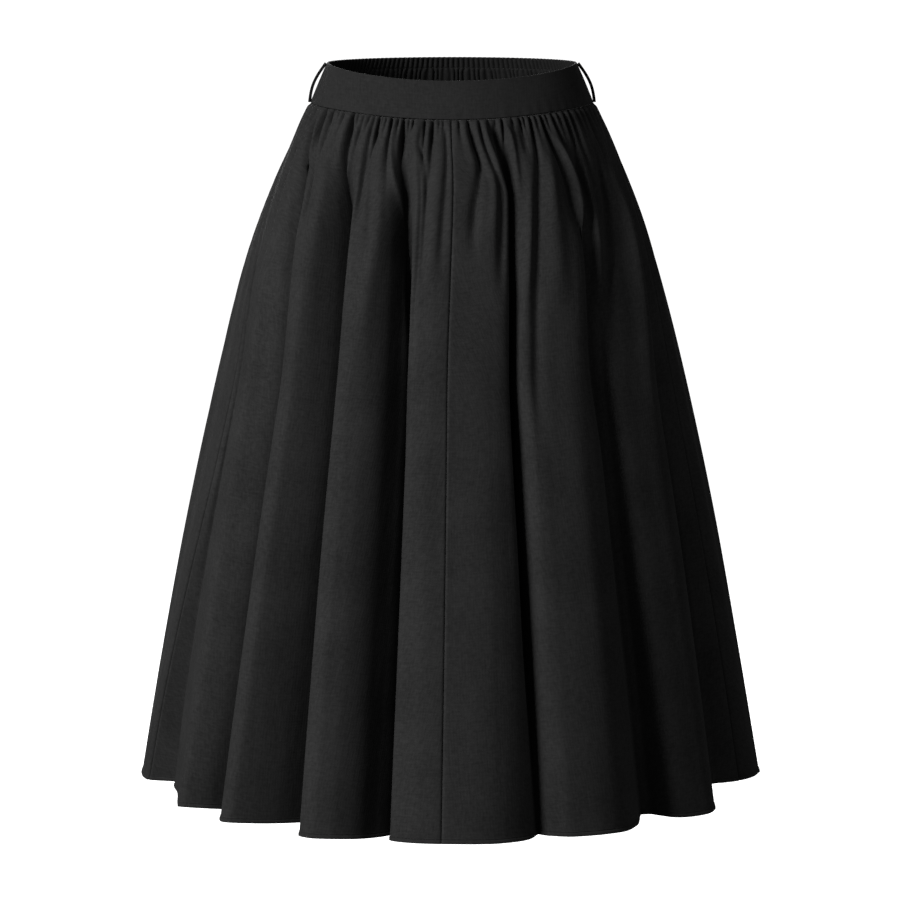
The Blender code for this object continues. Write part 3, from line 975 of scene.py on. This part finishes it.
    def surface(self) -> Cloth:
        """Work the panel out: its form, its height over it, its turned-in seams and its hem.

        Returns:
            The panel as a wall of cloth.
        """
        share = self.shares()
        drop = share * self.form.drop
        columns = self.columns_of(share)
        base = self.form.points(columns, share)
        out = grid_normals(base)
        across = along_lengths(base, 1)
        to_seam = np.minimum(across, across[:, -1:] - across) + self.side_rows_mm[0] * MM
        height = self.gathered(drop, across, columns) + self.creased(share, across, columns)
        height = (height + self.rippled(drop, columns)) * smooth_step(to_seam / self.calm_width)
        faced = self.faced(share, columns)[..., None] * unit(base * [1.0, 1.0, 0.0])
        settled = (height - np.linalg.norm(faced, axis=-1)) * self.settles * smooth_step(share)[:, None]
        height -= rounded(to_seam, self.seam_radius)
        height -= rounded(drop, self.top_radius)[:, None]
        above_hem = (self.form.drop - drop)[:, None]
        groove = np.exp(-(((above_hem - self.stitch_above_hem) / self.hem_edge) ** 2))
        turned_up = self.hem_lift * smooth_step((self.hem_depth - above_hem) / self.hem_edge)
        height += turned_up - self.hem_lift * self.stitch_groove * groove
        middle = base + faced + out * height[..., None]
        middle[..., 2] += settled
        half = np.full(height.shape, self.wall / 2.0)
        half -= rounded(above_hem, self.wall / 2.0) * self.hem_round
        return self.turned_in(Cloth(middle, half, half + 2.0 * turned_up), out)

    def turned_in(self, cloth: Cloth, out: Array) -> Cloth:
        """Turn the seam edges inwards: two more columns at each side and two more rows on top.

        Args:
            cloth: the panel up to its seams.
            out: its unit normals.

        Returns:
            The panel with its seam allowances.
        """
        for axis, at_end in ((1, False), (1, True), (0, False)):
            edge = [-1] if at_end else [0]
            parts = []
            for part in self.turned_parts:
                depth = self.seam_allowance * part
                point = np.take(cloth.middle, edge, axis) - np.take(out, edge, axis) * depth
                parts.append((point, np.take(cloth.outer, edge, axis), np.take(cloth.inner, edge, axis)))
            parts = parts if at_end else parts[::-1]
            joined = []
            for number, whole in enumerate((cloth.middle, cloth.outer, cloth.inner)):
                added = [column[number] for column in parts]
                joined.append(np.concatenate(([whole, *added] if at_end else [*added, whole]), axis))
            normals = [np.take(out, edge, axis)] * 2
            out = np.concatenate(([out, *normals] if at_end else [*normals, out]), axis)
            cloth = Cloth(*joined)
        return cloth

    def hem_stitches(self, cloth: Cloth, thread: bpy.types.Material) -> bpy.types.Object:
        """Sew the hem: stitches along the row of the cloth's outer face that lies at their height.

        Args:
            cloth: the panel.
            thread: the thread's finish.

        Returns:
            The line of stitches.
        """
        above_hem = self.form.drop * (1.0 - self.shares())
        row = len(cloth.middle) - len(above_hem) + int(np.argmin(np.abs(above_hem - self.stitch_above_hem)))
        outside, inside = cloth.faces()
        inner = slice(len(self.side_rows_mm), -len(self.side_rows_mm))
        out = unit(outside[row, inner] - inside[row, inner])
        return StitchLine(f"{self.name}_hem_stitches", "skirt_cloth").build(outside[row, inner], out, thread)

    def build(self, material: bpy.types.Material, thread: bpy.types.Material) -> bpy.types.Object:
        """Build and dress the panel in place of its solid and sew its hem.

        Args:
            material: the cloth's finish.
            thread: the thread's finish.

        Returns:
            The panel's object.
        """
        cloth = self.surface()
        thing = cloth.shell(f"{self.name}_cloth", material)
        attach(thing, "root")
        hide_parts(self.name)
        self.hem_stitches(cloth, thread)
        return thing


@dataclass
class FlatWaistband:
    """The interfaced front waistband, with a short pucker near its right end."""

    form: SkirtForm
    columns: int = 380
    rows: int = 26
    rim_rows: tuple[float, ...] = (0.0, 0.004, 0.012, 0.024)
    end_bearing: float = 89.92
    wall: float = 0.0022
    edge_radius: float = 0.0007
    barrel: float = 0.0005
    pull: float = 0.00028
    pull_paces: tuple[float, float] = (0.93, 0.31)
    softness: float = 0.00018
    soft_pace: float = 0.11
    pucker_depth: float = 0.0013
    pucker_bearing: float = -70.5
    pucker_turn: float = 0.9
    pucker_from: float = 0.5
    pucker_over: float = 0.2
    cut_length: float = 0.385
    cut_height: float = 0.041
    height: float = 0.040

    def surface(self) -> Cloth:
        """Work the band out: a straight wall from rim to foot with a little barrel and rounded edges.

        Returns:
            The band as a wall of cloth.
        """
        rim = np.array(self.rim_rows)
        inner = np.linspace(rim[-1], 1.0 - rim[-1], self.rows)[1:-1]
        down = np.concatenate((rim, inner, 1.0 - rim[::-1]))
        turn = np.linspace(-self.end_bearing, self.end_bearing, self.columns)
        middle = self.form.band_points(turn, down)
        out = grid_normals(middle)
        turn = turn[None, :]
        down = down[:, None]
        # The sines' paces have no common period, so nothing repeats round the band.
        swell = self.barrel * np.sin(math.pi * down)
        quick, slow = self.pull_paces
        pulled = self.pull * np.sin(turn * quick) * np.sin(turn * slow + 1.0) * down**3
        soft = self.softness * np.sin(turn * self.soft_pace + 2.0 * down)
        pucker = np.exp(-(((turn - self.pucker_bearing) / self.pucker_turn) ** 2))
        pucker = pucker * smooth_step((down - self.pucker_from) / self.pucker_over)
        middle = middle + out * (swell + pulled + soft - self.pucker_depth * pucker)[..., None]
        from_edge = np.minimum(down, 1.0 - down) * self.height
        half = np.full(middle.shape[:2], self.wall / 2.0) - rounded(from_edge, self.edge_radius)
        return Cloth(middle, half, half)

    def build(self, material: bpy.types.Material) -> bpy.types.Object:
        """Build and dress the band in place of its solid.

        Args:
            material: the cloth's finish.

        Returns:
            The band's object.
        """
        thing = self.surface().shell("front_waistband_cloth", material)
        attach(thing, "root")
        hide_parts("front_waistband")
        return thing


@dataclass
class ElasticWaistband:
    """The back waistband: a casing drawn up on elastic, its ribs parted by one line of stitches."""

    form: SkirtForm
    ribs: int = 75
    columns_per_rib: int = 8
    rim_rows: tuple[float, ...] = (0.0, 0.006, 0.015, 0.030)
    upper_rows: tuple[float, ...] = (0.07, 0.12, 0.17, 0.21, 0.235, 0.25, 0.262, 0.27, 0.278, 0.29, 0.31)
    lower_rows: int = 13
    lower_span: tuple[float, float] = (0.35, 0.94)
    end_turn: float = 0.08
    wall: float = 0.0020
    rib_height: float = 0.0008
    rib_shares: tuple[float, float] = (0.85, 1.15)
    flat_ribs: float = 3.0
    uneven_over: float = 0.10
    unevenness: tuple[float, float] = (0.75, 0.35)
    uneven_paces: tuple[float, float] = (0.9, 0.37)
    wanders: tuple[tuple[float, float, float], ...] = ((0.22, 1.7, 0.6), (0.16, 0.63, 2.0))
    rim_over: float = 0.05
    rim_share: float = 0.3
    inner_share: float = 0.6
    inner_lag: float = 2.6
    stitch_down: float = 0.27
    stitch_row: int = 11
    stitch_sink: float = 0.00035
    stitch_reach: float = 0.016
    pinch: float = 0.75
    pinch_reach: float = 0.022
    edge_radius: float = 0.0007
    height: float = 0.0405
    cut_length: float = 0.56
    cut_height: float = 0.041

    def surface(self) -> Cloth:
        """Work the casing out: a wave round the band, regular over the stitches and uneven under them.

        Returns:
            The casing as a wall of cloth.
        """
        rim = np.array(self.rim_rows)
        lower = np.linspace(*self.lower_span, self.lower_rows)
        down = np.concatenate((rim, self.upper_rows, lower, 1.0 - rim[::-1]))[:, None]
        wave = np.arange(self.ribs * self.columns_per_rib + 1) / self.columns_per_rib
        turn = self.form.side_bearing + 180.0 * wave / self.ribs
        turn[0] += self.end_turn
        turn[-1] -= self.end_turn
        middle = self.form.band_points(turn, down[:, 0])
        out = grid_normals(middle)
        wave = wave[None, :]
        from_stitch = down - self.stitch_down
        below = smooth_step(from_stitch / self.uneven_over)
        wander = sum(size * np.sin(wave * pace + start) for size, pace, start in self.wanders)
        mean, swing = self.unevenness
        quick, slow = self.uneven_paces
        uneven = mean + swing * np.sin(wave * quick + 1.3) * np.sin(wave * slow)
        over, under = self.rib_shares
        tall = self.rib_height * ((1.0 - below) * over + below * under * uneven)
        tall = tall * smooth_step(np.minimum(wave, self.ribs - wave) / self.flat_ribs)
        pinch = 1.0 - self.pinch * np.exp(-((from_stitch / self.pinch_reach) ** 2))
        from_rim = smooth_step(down / self.rim_over)
        ridge = tall * pinch * (from_rim * (1.0 - self.rim_share) + self.rim_share)
        phase = 2.0 * math.pi * (wave + below * wander)
        rib = 0.5 * ridge * np.cos(phase)
        half = self.wall / 2.0 - rounded(np.minimum(down, 1.0 - down) * self.height, self.edge_radius)
        half = half - self.stitch_sink * np.exp(-((from_stitch / self.stitch_reach) ** 2))
        inner_rib = self.inner_share * ridge * np.cos(phase + self.inner_lag)
        return Cloth(middle + out * rib[..., None], half + rib, half + inner_rib)

    def elastic_stitches(self, cloth: Cloth, thread: bpy.types.Material) -> list[bpy.types.Object]:
        """Sew through casing and elastic: one line of stitches on the inner face and one on the outer.

        Args:
            cloth: the casing.
            thread: the thread's finish.

        Returns:
            The two lines.
        """
        row = self.stitch_row
        lines = []
        for name, face, other in (("inner", *cloth.faces()[::-1]), ("outer", *cloth.faces())):
            line = StitchLine(f"elastic_stitches_{name}", "casing_cloth", rise=0.00022)
            lines.append(line.build(face[row], unit(face[row] - other[row]), thread))
        return lines

    def build(self, material: bpy.types.Material, thread: bpy.types.Material) -> bpy.types.Object:
        """Build and dress the casing in place of its solid and sew it.

        Args:
            material: the cloth's finish.
            thread: the thread's finish.

        Returns:
            The casing's object.
        """
        cloth = self.surface()
        thing = cloth.shell("back_waistband_cloth", material)
        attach(thing, "root")
        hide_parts("back_waistband")
        self.elastic_stitches(cloth, thread)
        return thing


@dataclass
class BeltLoop:
    """A narrow folded strip, bowed out over a side seam of the waistband."""

    name: str
    form: SkirtForm
    side: float
    width: float = 0.009
    wall: float = 0.0030
    solid_wall: float = 0.0016
    band_wall: float = 0.0024
    bow: float = 0.0038
    end_inset: float = 0.0010
    edge_radius: float = 0.0012
    edge_share: float = 0.85
    stitch_inset: float = 0.0016
    stitch_sink: float = 0.00012
    stitch_width: float = 0.0004
    rows: int = 60
    columns: int = 16
    cut_length: float = 0.052
    cut_width: float = 0.010

    def surface(self) -> Cloth:
        """Work the strip out: it leaves the band by a half sine, with rounded edges.

        Returns:
            The loop as a wall of cloth.
        """
        down = np.linspace(0.0, 1.0, self.rows)[:, None]
        top = self.form.rim_height - self.end_inset
        foot = self.form.seam_height + self.end_inset
        height = top + (foot - top) * down
        below = (self.form.rim_height - height) / (self.form.rim_height - self.form.seam_height)
        band = self.form.rim_half_width + (self.form.foot_half_width - self.form.rim_half_width) * below
        seated = self.band_wall / 2.0 + self.form.seam_gap + self.solid_wall / 2.0
        reach = band + seated + self.bow * np.sin(math.pi * down)
        across = (1.0 - np.cos(np.linspace(0.0, math.pi, self.columns)))[None, :] / 2.0 - 0.5
        grid = np.ones((self.rows, self.columns))
        places = (self.side * reach * grid, self.side * across * self.width * grid, height * grid)
        middle = np.stack(places, axis=-1)
        from_edge = (0.5 - np.abs(across)) * self.width * grid
        half = self.wall / 2.0 - rounded(from_edge, self.edge_radius) * self.edge_share
        from_stitch = (from_edge - self.stitch_inset) / self.stitch_width
        half = half - self.stitch_sink * np.exp(-(from_stitch**2))
        return Cloth(middle, half, half)

    def build(self, material: bpy.types.Material) -> bpy.types.Object:
        """Build and dress the loop in place of its solid.

        Args:
            material: the cloth's finish.

        Returns:
            The loop's object.
        """
        thing = self.surface().shell(f"{self.name}_cloth", material)
        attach(thing, "root")
        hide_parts(self.name)
        return thing


class SoftLight(NamedTuple):
    """A square soft light: bearing from the front, height, distance, side and power in watts."""

    name: str
    bearing: float
    height: float
    away: float
    size: float
    power: float


@dataclass
class Studio:
    """A pale round studio, three soft lights and the camera."""

    floor_height: float = -1.25
    floor_radius: float = 9.0
    wall_radius: float = 12.0
    wall_height: float = 8.0
    curve_height: float = 3.0
    camera_place: tuple[float, float, float] = (-0.002, -4.5, 0.285)
    camera_pitch: float = -8.279
    lens_mm: float = 180.0
    sensor_mm: float = 36.0
    air_strength: float = 0.044
    aimed_at: float = -0.35
    lights: tuple[SoftLight, ...] = (
        SoftLight("key_softbox", -50.0, 0.95, 3.5, 1.6, 104.0),
        SoftLight("side_softbox", 62.0, 0.6, 3.5, 1.6, 6.5),
        SoftLight("back_softbox", 186.0, 1.6, 3.4, 1.8, 80.0),
    )

    def paper(self, material: bpy.types.Material) -> bpy.types.Object:
        """Turn the floor and wall: a flat disc, a quarter ellipse and an upright, round the Z axis.

        Args:
            material: the paper's finish.

        Returns:
            The paper's object, which is stage and no part of the skirt.
        """
        bend = np.linspace(0.0, math.pi / 2.0, 12)
        curve = self.floor_radius + (self.wall_radius - self.floor_radius) * np.sin(bend)
        radius = np.concatenate(([0.02, 4.0], curve, [self.wall_radius]))[:, None]
        rise = self.curve_height * (1.0 - np.cos(bend))
        height = self.floor_height + np.concatenate(([0.0, 0.0], rise, [self.wall_height]))[:, None]
        turn = np.linspace(0.0, 2.0 * math.pi, 97)[None, :]
        points = np.stack((radius * np.cos(turn), radius * np.sin(turn), height + 0.0 * turn), axis=-1)
        quads = grid_quads(*points.shape[:2])[:, ::-1]
        thing = mesh_object("studio_paper", points.reshape(-1, 3), quads, None, material)
        thing.visible_diffuse = False
        thing.visible_glossy = False
        thing.visible_shadow = False
        return thing

    def hang(self, light: SoftLight) -> None:
        """Hang a light so that it faces the middle of the skirt.

        Args:
            light: the light.
        """
        lamp = bpy.data.lights.new(light.name, "AREA")
        lamp.shape = "SQUARE"
        lamp.size = light.size
        lamp.energy = light.power
        turn = math.radians(light.bearing)
        thing = bpy.data.objects.new(light.name, lamp)
        thing.location = (light.away * math.sin(turn), -light.away * math.cos(turn), light.height)
        tilt = math.atan2(light.away, light.height - self.aimed_at)
        thing.rotation_euler = (tilt, 0.0, turn)
        bpy.context.scene.collection.objects.link(thing)

    def build(self, material: bpy.types.Material) -> None:
        """Set the paper, the lights, the surrounding light, the tone scale and the camera.

        Args:
            material: the paper's finish.
        """
        self.paper(material)
        for light in self.lights:
            self.hang(light)
        world = bpy.data.worlds.new("studio_air")
        world.use_nodes = True
        air = world.node_tree.nodes["Background"]
        air.inputs["Color"].default_value = linear("#ffffff")
        air.inputs["Strength"].default_value = self.air_strength
        bpy.context.scene.world = world
        bpy.context.scene.view_settings.view_transform = "Standard"
        camera = bpy.data.cameras.new("camera")
        camera.lens = self.lens_mm
        camera.sensor_width = self.sensor_mm
        thing = bpy.data.objects.new("camera", camera)
        thing.location = self.camera_place
        thing.rotation_euler = (math.radians(90.0 + self.camera_pitch), 0.0, 0.0)
        bpy.context.scene.collection.objects.link(thing)
        bpy.context.scene.camera = thing


def creases(kind: CreaseKind, *rows: tuple) -> tuple[Crease, ...]:
    """Creases of one kind from rows of depth in mm, widths in mm and route."""
    return tuple(Crease(kind, *row) for row in rows)


RIGHT_GATHERS = tuple(
    Gather(*row)
    for row in (
        (-82, 1.6, 26, -2), (-76, 1.2, 18, -1), (-70.5, 1.5, 40, -3), (-66, 1, 14, 0),
        (-61.3, 4.4, 85, 0), (-59.4, 1.2, 16, 0), (-55.3, 3.4, 20, 0), (-51.5, 1, 10, 1),
        (-48.2, 1.3, 18, 0), (-43.1, 4, 84, -2), (-40.2, 1.2, 9, 0), (-37.4, 1.4, 14, -1),
        (-34.4, 1.5, 12, -1.5), (-32.3, 1.3, 9, 0), (-30, 3.4, 85, 0), (-28.5, 1.3, 9, 0),
        (-24.4, 3.6, 90, 0), (-26.8, 1.3, 10, 0), (-21.6, 1.6, 13, 0), (-19.4, 3.4, 80, 0),
        (-17, 1.3, 9, 0), (-15.2, 2.4, 17, -2.5), (-10.6, 2.2, 70, 0), (-7.2, 1.4, 36, -2),
        (-5, 1.3, 8, 0), (-3.4, 1.5, 9, 0),
    )
)

LEFT_GATHERS = tuple(
    Gather(*row)
    for row in (
        (2.8, 1.2, 14, 0), (6.4, 2.4, 70, 0), (10.8, 1.5, 18, 0), (14.4, 1.1, 12, 0), (17.5, 0.9, 10, 0),
        (20.2, 2.6, 70, 0), (24.4, 1.2, 12, 0), (27.6, 2.4, 22, 2), (29.6, 1.6, 10, 0),
        (32.4, 3.2, 75, -1), (35, 1.3, 10, 0), (37.8, 3.6, 85, 2), (40.2, 1.2, 11, 0),
        (43.4, 2.2, 70, 4), (46.6, 1.3, 14, 1), (50.4, 1.5, 22, 2), (54, 2.3, 65, 4), (58.6, 1.4, 24, 2),
        (62.4, 1.2, 14, 0), (66.2, 1.9, 45, 3), (70.8, 1.1, 14, 0), (75, 1.6, 34, 2), (81, 1.2, 20, 1),
    )
)


RIGHT_CREASES = (
    *creases(
        CreaseKind.TROUGH,
        (3, (8, 12), ((0.2, 12), (0.5, 11.6), (1, 11.8))),
        (5, (6, 13), ((0.08, 19.6), (0.3, 19.6), (0.6, 19.8), (1, 19.8))),
        (4, (5, 9), ((0.1, 9.6), (0.5, 9.4), (1, 9.2))),
        (5, (2.8, 6), ((0, 12.8), (0.05, 13.6), (0.12, 13), (0.24, 12.4))),
        (6, (2.8, 6.5), ((0, 16.6), (0.05, 17.8), (0.12, 18.2), (0.28, 17.6))),
        (4.5, (2.4, 5), ((0, 24.4), (0.05, 23.6), (0.1, 23.4), (0.18, 22.9))),
        (5.5, (2.8, 6.5), ((0, 30.4), (0.05, 31), (0.12, 31.8), (0.27, 32.2))),
        (4, (2.4, 5), ((0, 33), (0.06, 33.6), (0.16, 34.2))),
        (4.5, (2.6, 6.5), ((0, 44.9), (0.06, 45), (0.12, 44.8), (0.26, 44.6))),
        (3.5, (2.2, 5), ((0, 46.4), (0.06, 46.6), (0.14, 46.5), (0.24, 46.4))),
        (5.5, (3, 8), ((0, 20.2), (0.03, 20.9), (0.08, 22.2), (0.17, 23.4))),
        (5, (3.5, 12), ((0, 28.9), (0.08, 29.2), (0.17, 29.4), (0.3, 29.4))),
        (6, (9, 14), ((0.06, 29.4), (0.17, 29.8), (0.3, 29.8), (0.42, 29.8))),
        (2.5, (2.5, 6), ((0, 33.6), (0.045, 35.3), (0.12, 35.9), (0.2, 36.3))),
        (7, (4, 18), ((0, 40.2), (0.08, 40.9), (0.17, 40.8), (0.23, 41.1), (0.34, 41.4))),
        (7, (10, 14), ((0.08, 41.2), (0.17, 41.2), (0.3, 41.4), (0.45, 41.6))),
        (2, (2, 4), ((0, 39.3), (0.06, 40.2), (0.1, 41.2), (0.137, 43))),
        (2, (2, 3), ((0, 43.4), (0.03, 43.2), (0.06, 44.3), (0.13, 44.8))),
    ),
    *creases(
        CreaseKind.RIDGE,
        (4, (8, 16), ((0.15, 10), (0.5, 9.4), (1, 9.6))),
        (3, (6, 16), ((0.06, 15.4), (0.3, 13.9), (1, 13.5))),
        (4, (4, 16), ((0.02, 25.6), (0.1, 25.8), (0.25, 25.2), (0.42, 24.6))),
        (4, (4, 14), ((0.03, 37.3), (0.17, 36.9), (0.25, 36.3), (0.42, 35.5))),
        (2.5, (2.5, 4), ((0, 37), (0.08, 38.4), (0.14, 40.2), (0.2, 42.8))),
    ),
    *creases(
        CreaseKind.LAP,
        (2, (2, 4), ((0.03, 42.9), (0.12, 43.9), (0.32, 43.9), (0.5, 43.2))),
    ),
)

LEFT_CREASES = (
    *creases(
        CreaseKind.TROUGH,
        (4.5, (2.4, 6.5), ((0, 50.4), (0.05, 50.1), (0.12, 49.9), (0.26, 49.9))),
        (4.5, (2.4, 6), ((0, 49.4), (0.045, 49.1), (0.082, 48.4), (0.12, 48), (0.2, 47.9))),
        (10, (4, 14), ((0, 51.8), (0.08, 52.2), (0.17, 52.3), (0.34, 52.6), (0.6, 52.6))),
        (2, (2, 4), ((0, 54.6), (0.03, 55), (0.06, 55.4))),
        (3.5, (3, 8), ((0.02, 57.4), (0.08, 56.9), (0.17, 56.7), (0.34, 57), (0.5, 57))),
        (
            6,
            (3, 14),
            ((0.02, 60.4), (0.08, 60.2), (0.12, 60.3), (0.17, 61.6), (0.23, 62.2), (0.34, 62.6), (0.5, 63)),
        ),
        (3, (2, 4), ((0, 64.8), (0.045, 65.2), (0.08, 64.8), (0.13, 65.8))),
        (5, (3, 10), ((0.04, 69.6), (0.12, 69.6), (0.17, 69), (0.25, 68.4), (0.38, 67.4))),
    ),
    *creases(
        CreaseKind.RIDGE,
        (2.5, (3, 10), ((0, 50.4), (0.05, 50.4), (0.1, 49.4), (0.2, 48.9))),
        (2.5, (1.5, 3), ((0, 52.9), (0.03, 53.8), (0.07, 54), (0.12, 54.4))),
        (4, (3.5, 14), ((0.04, 58.5), (0.12, 58.3), (0.2, 58.4), (0.3, 58.5))),
        (2.5, (2.5, 4), ((0.02, 60.6), (0.08, 61.6), (0.12, 61.9), (0.17, 62))),
        (4.5, (3, 7), ((0.04, 66.2), (0.08, 66.1), (0.17, 66.7), (0.24, 66.2), (0.3, 65.8))),
        (4, (4, 14), ((0.06, 72), (0.23, 72.4), (0.34, 71.8), (0.46, 70.8))),
    ),
)


RIGHT_FACES = tuple(
    Face(*row)
    for row in (
        (7, (0, 0, 0)), (13.2, (0, 0, 0)), (14.8, (3, 8, 7)), (16.4, (12, 22, 20)), (18, (19, 33, 31)),
        (20, (12, 25, 24)), (22.5, (0, 0, 0)), (24.7, (0, 0, 0)), (25.5, (3, 6, 7)),
        (26.4, (13, 18, 21)), (27.4, (27, 34, 38)), (28.6, (37, 45, 47)), (30, (33, 43, 44)),
        (33, (0, 0, 0)), (35.2, (0, 0, 0)), (36.2, (2, 4, 5)), (37, (6.5, 11, 14)), (38, (15, 23, 26)),
        (39.3, (27, 37, 38)), (40.4, (29, 43, 44)), (42, (12, 20, 20)), (43.2, (1.5, 4, 5)),
        (44.6, (0, 0, 0)), (47, (1, 0.5, 0)),
    )
)

LEFT_FACES = tuple(
    Face(*row)
    for row in (
        (47, (1, 0.5, 0)), (48, (2, 2, 1)), (49.2, (3, 6, 6)), (50.2, (5, 9, 10)), (51, (7, 10, 12)),
        (53, (3, 19, 6)), (54.2, (1, 17, 2)), (55.3, (0, 9, 0)), (56.4, (3, 2, 3)), (57.4, (3, 2, 4)),
        (58.2, (1, 1, 4)), (59, (-1, 0, 6)), (60, (-3, 2, 10)), (61.4, (-3, 4, 12)), (64, (0, 1, 3)),
        (66, (0, 0, 0)), (67.6, (0, -6, -12)), (69, (0, -9, -14)), (69.8, (-1, -10, -13)),
        (71, (-3, -8, -8)), (72.4, (-6, -6, -5)), (75, (-1, -1, -1)), (79, (0, 0, 0)),
    )
)


def back_faces(form: SkirtForm) -> tuple[Face, ...]:
    """Faces of the folds behind: each falls away from its crest to its last edge, no two as far.

    Args:
        form: the form that has the folds.

    Returns:
        The faces, in the order of their columns.
    """
    none = (0.0, 0.0, 0.0)
    past_the_end = form.round_columns + form.fold_columns + 3.0
    rows = [Face(form.left_side_column, none)]
    for number in range(form.first_behind, len(form.folds)):
        start = number * form.fold_columns
        hem = 11.0 + 7.0 * math.sin(number * 2.9)
        for ahead, part in ((3.0, 0.0), (4.8, 0.3), (6.8, 1.0), (9.0, 0.3), (11.0, 0.0)):
            rows.append(Face(start + ahead, (0.5 * part * hem, 0.8 * part * hem, part * hem)))
    return (*rows, Face(past_the_end, none))


def back_gathers() -> tuple[Gather, ...]:
    """Gathers of the back panel, unlike one another as the front's are: four sizes in an uneven turn.

    Returns:
        The gathers. Sines of a gather's number, of no common period, change its place and its sizes.
    """
    rows = []
    for number in range(46):
        bearing = 93.0 + number * 3.85 + 1.1 * math.sin(number * 2.3) + 0.7 * math.sin(number * 5.1 + 1.0)
        depth = (1.3, 2.3, 1.5, 1.9)[number % 4] + 0.35 * math.sin(number * 1.9)
        length = (11.0, 58.0, 16.0, 34.0)[number % 4] * (1.0 + 0.35 * math.sin(number * 3.1))
        rows.append(Gather(bearing, depth, length, 2.0 * math.sin(number * 1.3)))
    return tuple(rows)


def back_creases(form: SkirtForm) -> tuple[Crease, ...]:
    """Creases of the back panel, like the front's: a crest, a valley, a tuck and a brim to each fold.

    Args:
        form: the form that has the folds.

    Returns:
        The creases, their sizes following sines of the fold's number so that no two are the same.
    """
    rows = []
    for number in range(form.first_behind - 1, len(form.folds) + 1):
        start = number * form.fold_columns
        turn = math.sin(number * 2.3)
        other = math.sin(number * 4.1 + 0.7)
        crest = start + 3.2 + 0.5 * turn
        valley = start + 8.4 + 0.4 * other
        reach = 0.42 + 0.16 * turn
        tuck = start + 5.6 + 0.7 * other
        brim = start + 1.4 + 0.4 * turn
        down_crest = ((0.02, crest + 0.9), (0.25, crest), (1.0, crest))
        down_brim = ((0.0, brim + 0.7), (0.05, brim), (0.15 + 0.05 * turn, brim - 0.4))
        down_valley = ((0.0, valley - 0.8), (0.12, valley), (reach, valley + 0.3))
        down_tuck = ((0.0, tuck - 0.9), (0.06, tuck), (0.20 + 0.06 * other, tuck + 0.6))
        ridges = ((3.6 + turn, (4.0, 19.0 + 2.0 * other), down_crest), (2.2, (2.2, 6.0), down_brim))
        troughs = ((7.5 + 2.5 * other, (4.0, 17.0), down_valley), (2.6 + 0.6 * turn, (2.4, 7.0), down_tuck))
        rows += [*creases(CreaseKind.RIDGE, *ridges), *creases(CreaseKind.TROUGH, *troughs)]
    return tuple(rows)


def main() -> None:
    """Build every piece of the skirt and the studio round it."""
    logging.basicConfig(level=logging.INFO, format="%(message)s")
    form = SkirtForm()
    skirt = WovenCotton("woven_cotton_plain_black", "#2b2b2b", "#3b3b3b").material()
    band = WovenCotton("woven_cotton_interfaced_black", "#292929", "#343434", relief_mm=0.06).material()
    casing = WovenCotton("woven_cotton_casing_black", "#1f1f1f", "#2a2a2a").material()
    # The loops are the skirt's black cotton drawn about a third as bright: painted shade.
    loop = WovenCotton("woven_cotton_strip_black_painted_shade", "#161616", "#1e1e1e", relief_mm=0.05).material()
    thread = SewingThread().material()
    paper = StudioPaper().material()
    sides = form.right_side_column, form.centre_front_column, form.left_side_column
    tables = RIGHT_GATHERS, RIGHT_CREASES, RIGHT_FACES
    right = SkirtPanel("front_panel_right", form, sides[0], sides[1], *tables)
    tables = LEFT_GATHERS, LEFT_CREASES, LEFT_FACES
    left = SkirtPanel("front_panel_left", form, sides[1], sides[2], *tables)
    tables = back_gathers(), back_creases(form), back_faces(form)
    back = SkirtPanel(
        "back_panel",
        form,
        sides[2],
        form.round_columns + sides[0],
        *tables,
        columns_between=480,
        rows_gathered=22,
        rows_hanging=54,
        cut_top=0.66,
        cut_hem=1.36,
        hangs_from="back_waistband_cloth",
    )
    pieces = [
        FlatWaistband(form).build(band),
        ElasticWaistband(form).build(casing, thread),
        BeltLoop("belt_loop_right", form, -1.0).build(loop),
        BeltLoop("belt_loop_left", form, 1.0).build(loop),
        right.build(skirt, thread),
        left.build(skirt, thread),
        back.build(skirt, thread),
    ]
    for piece in pieces:
        LOG.info("%s: %d faces", piece.name, len(piece.data.polygons))
    Studio().build(paper)


if __name__ == "__main__":
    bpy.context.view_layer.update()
    main()
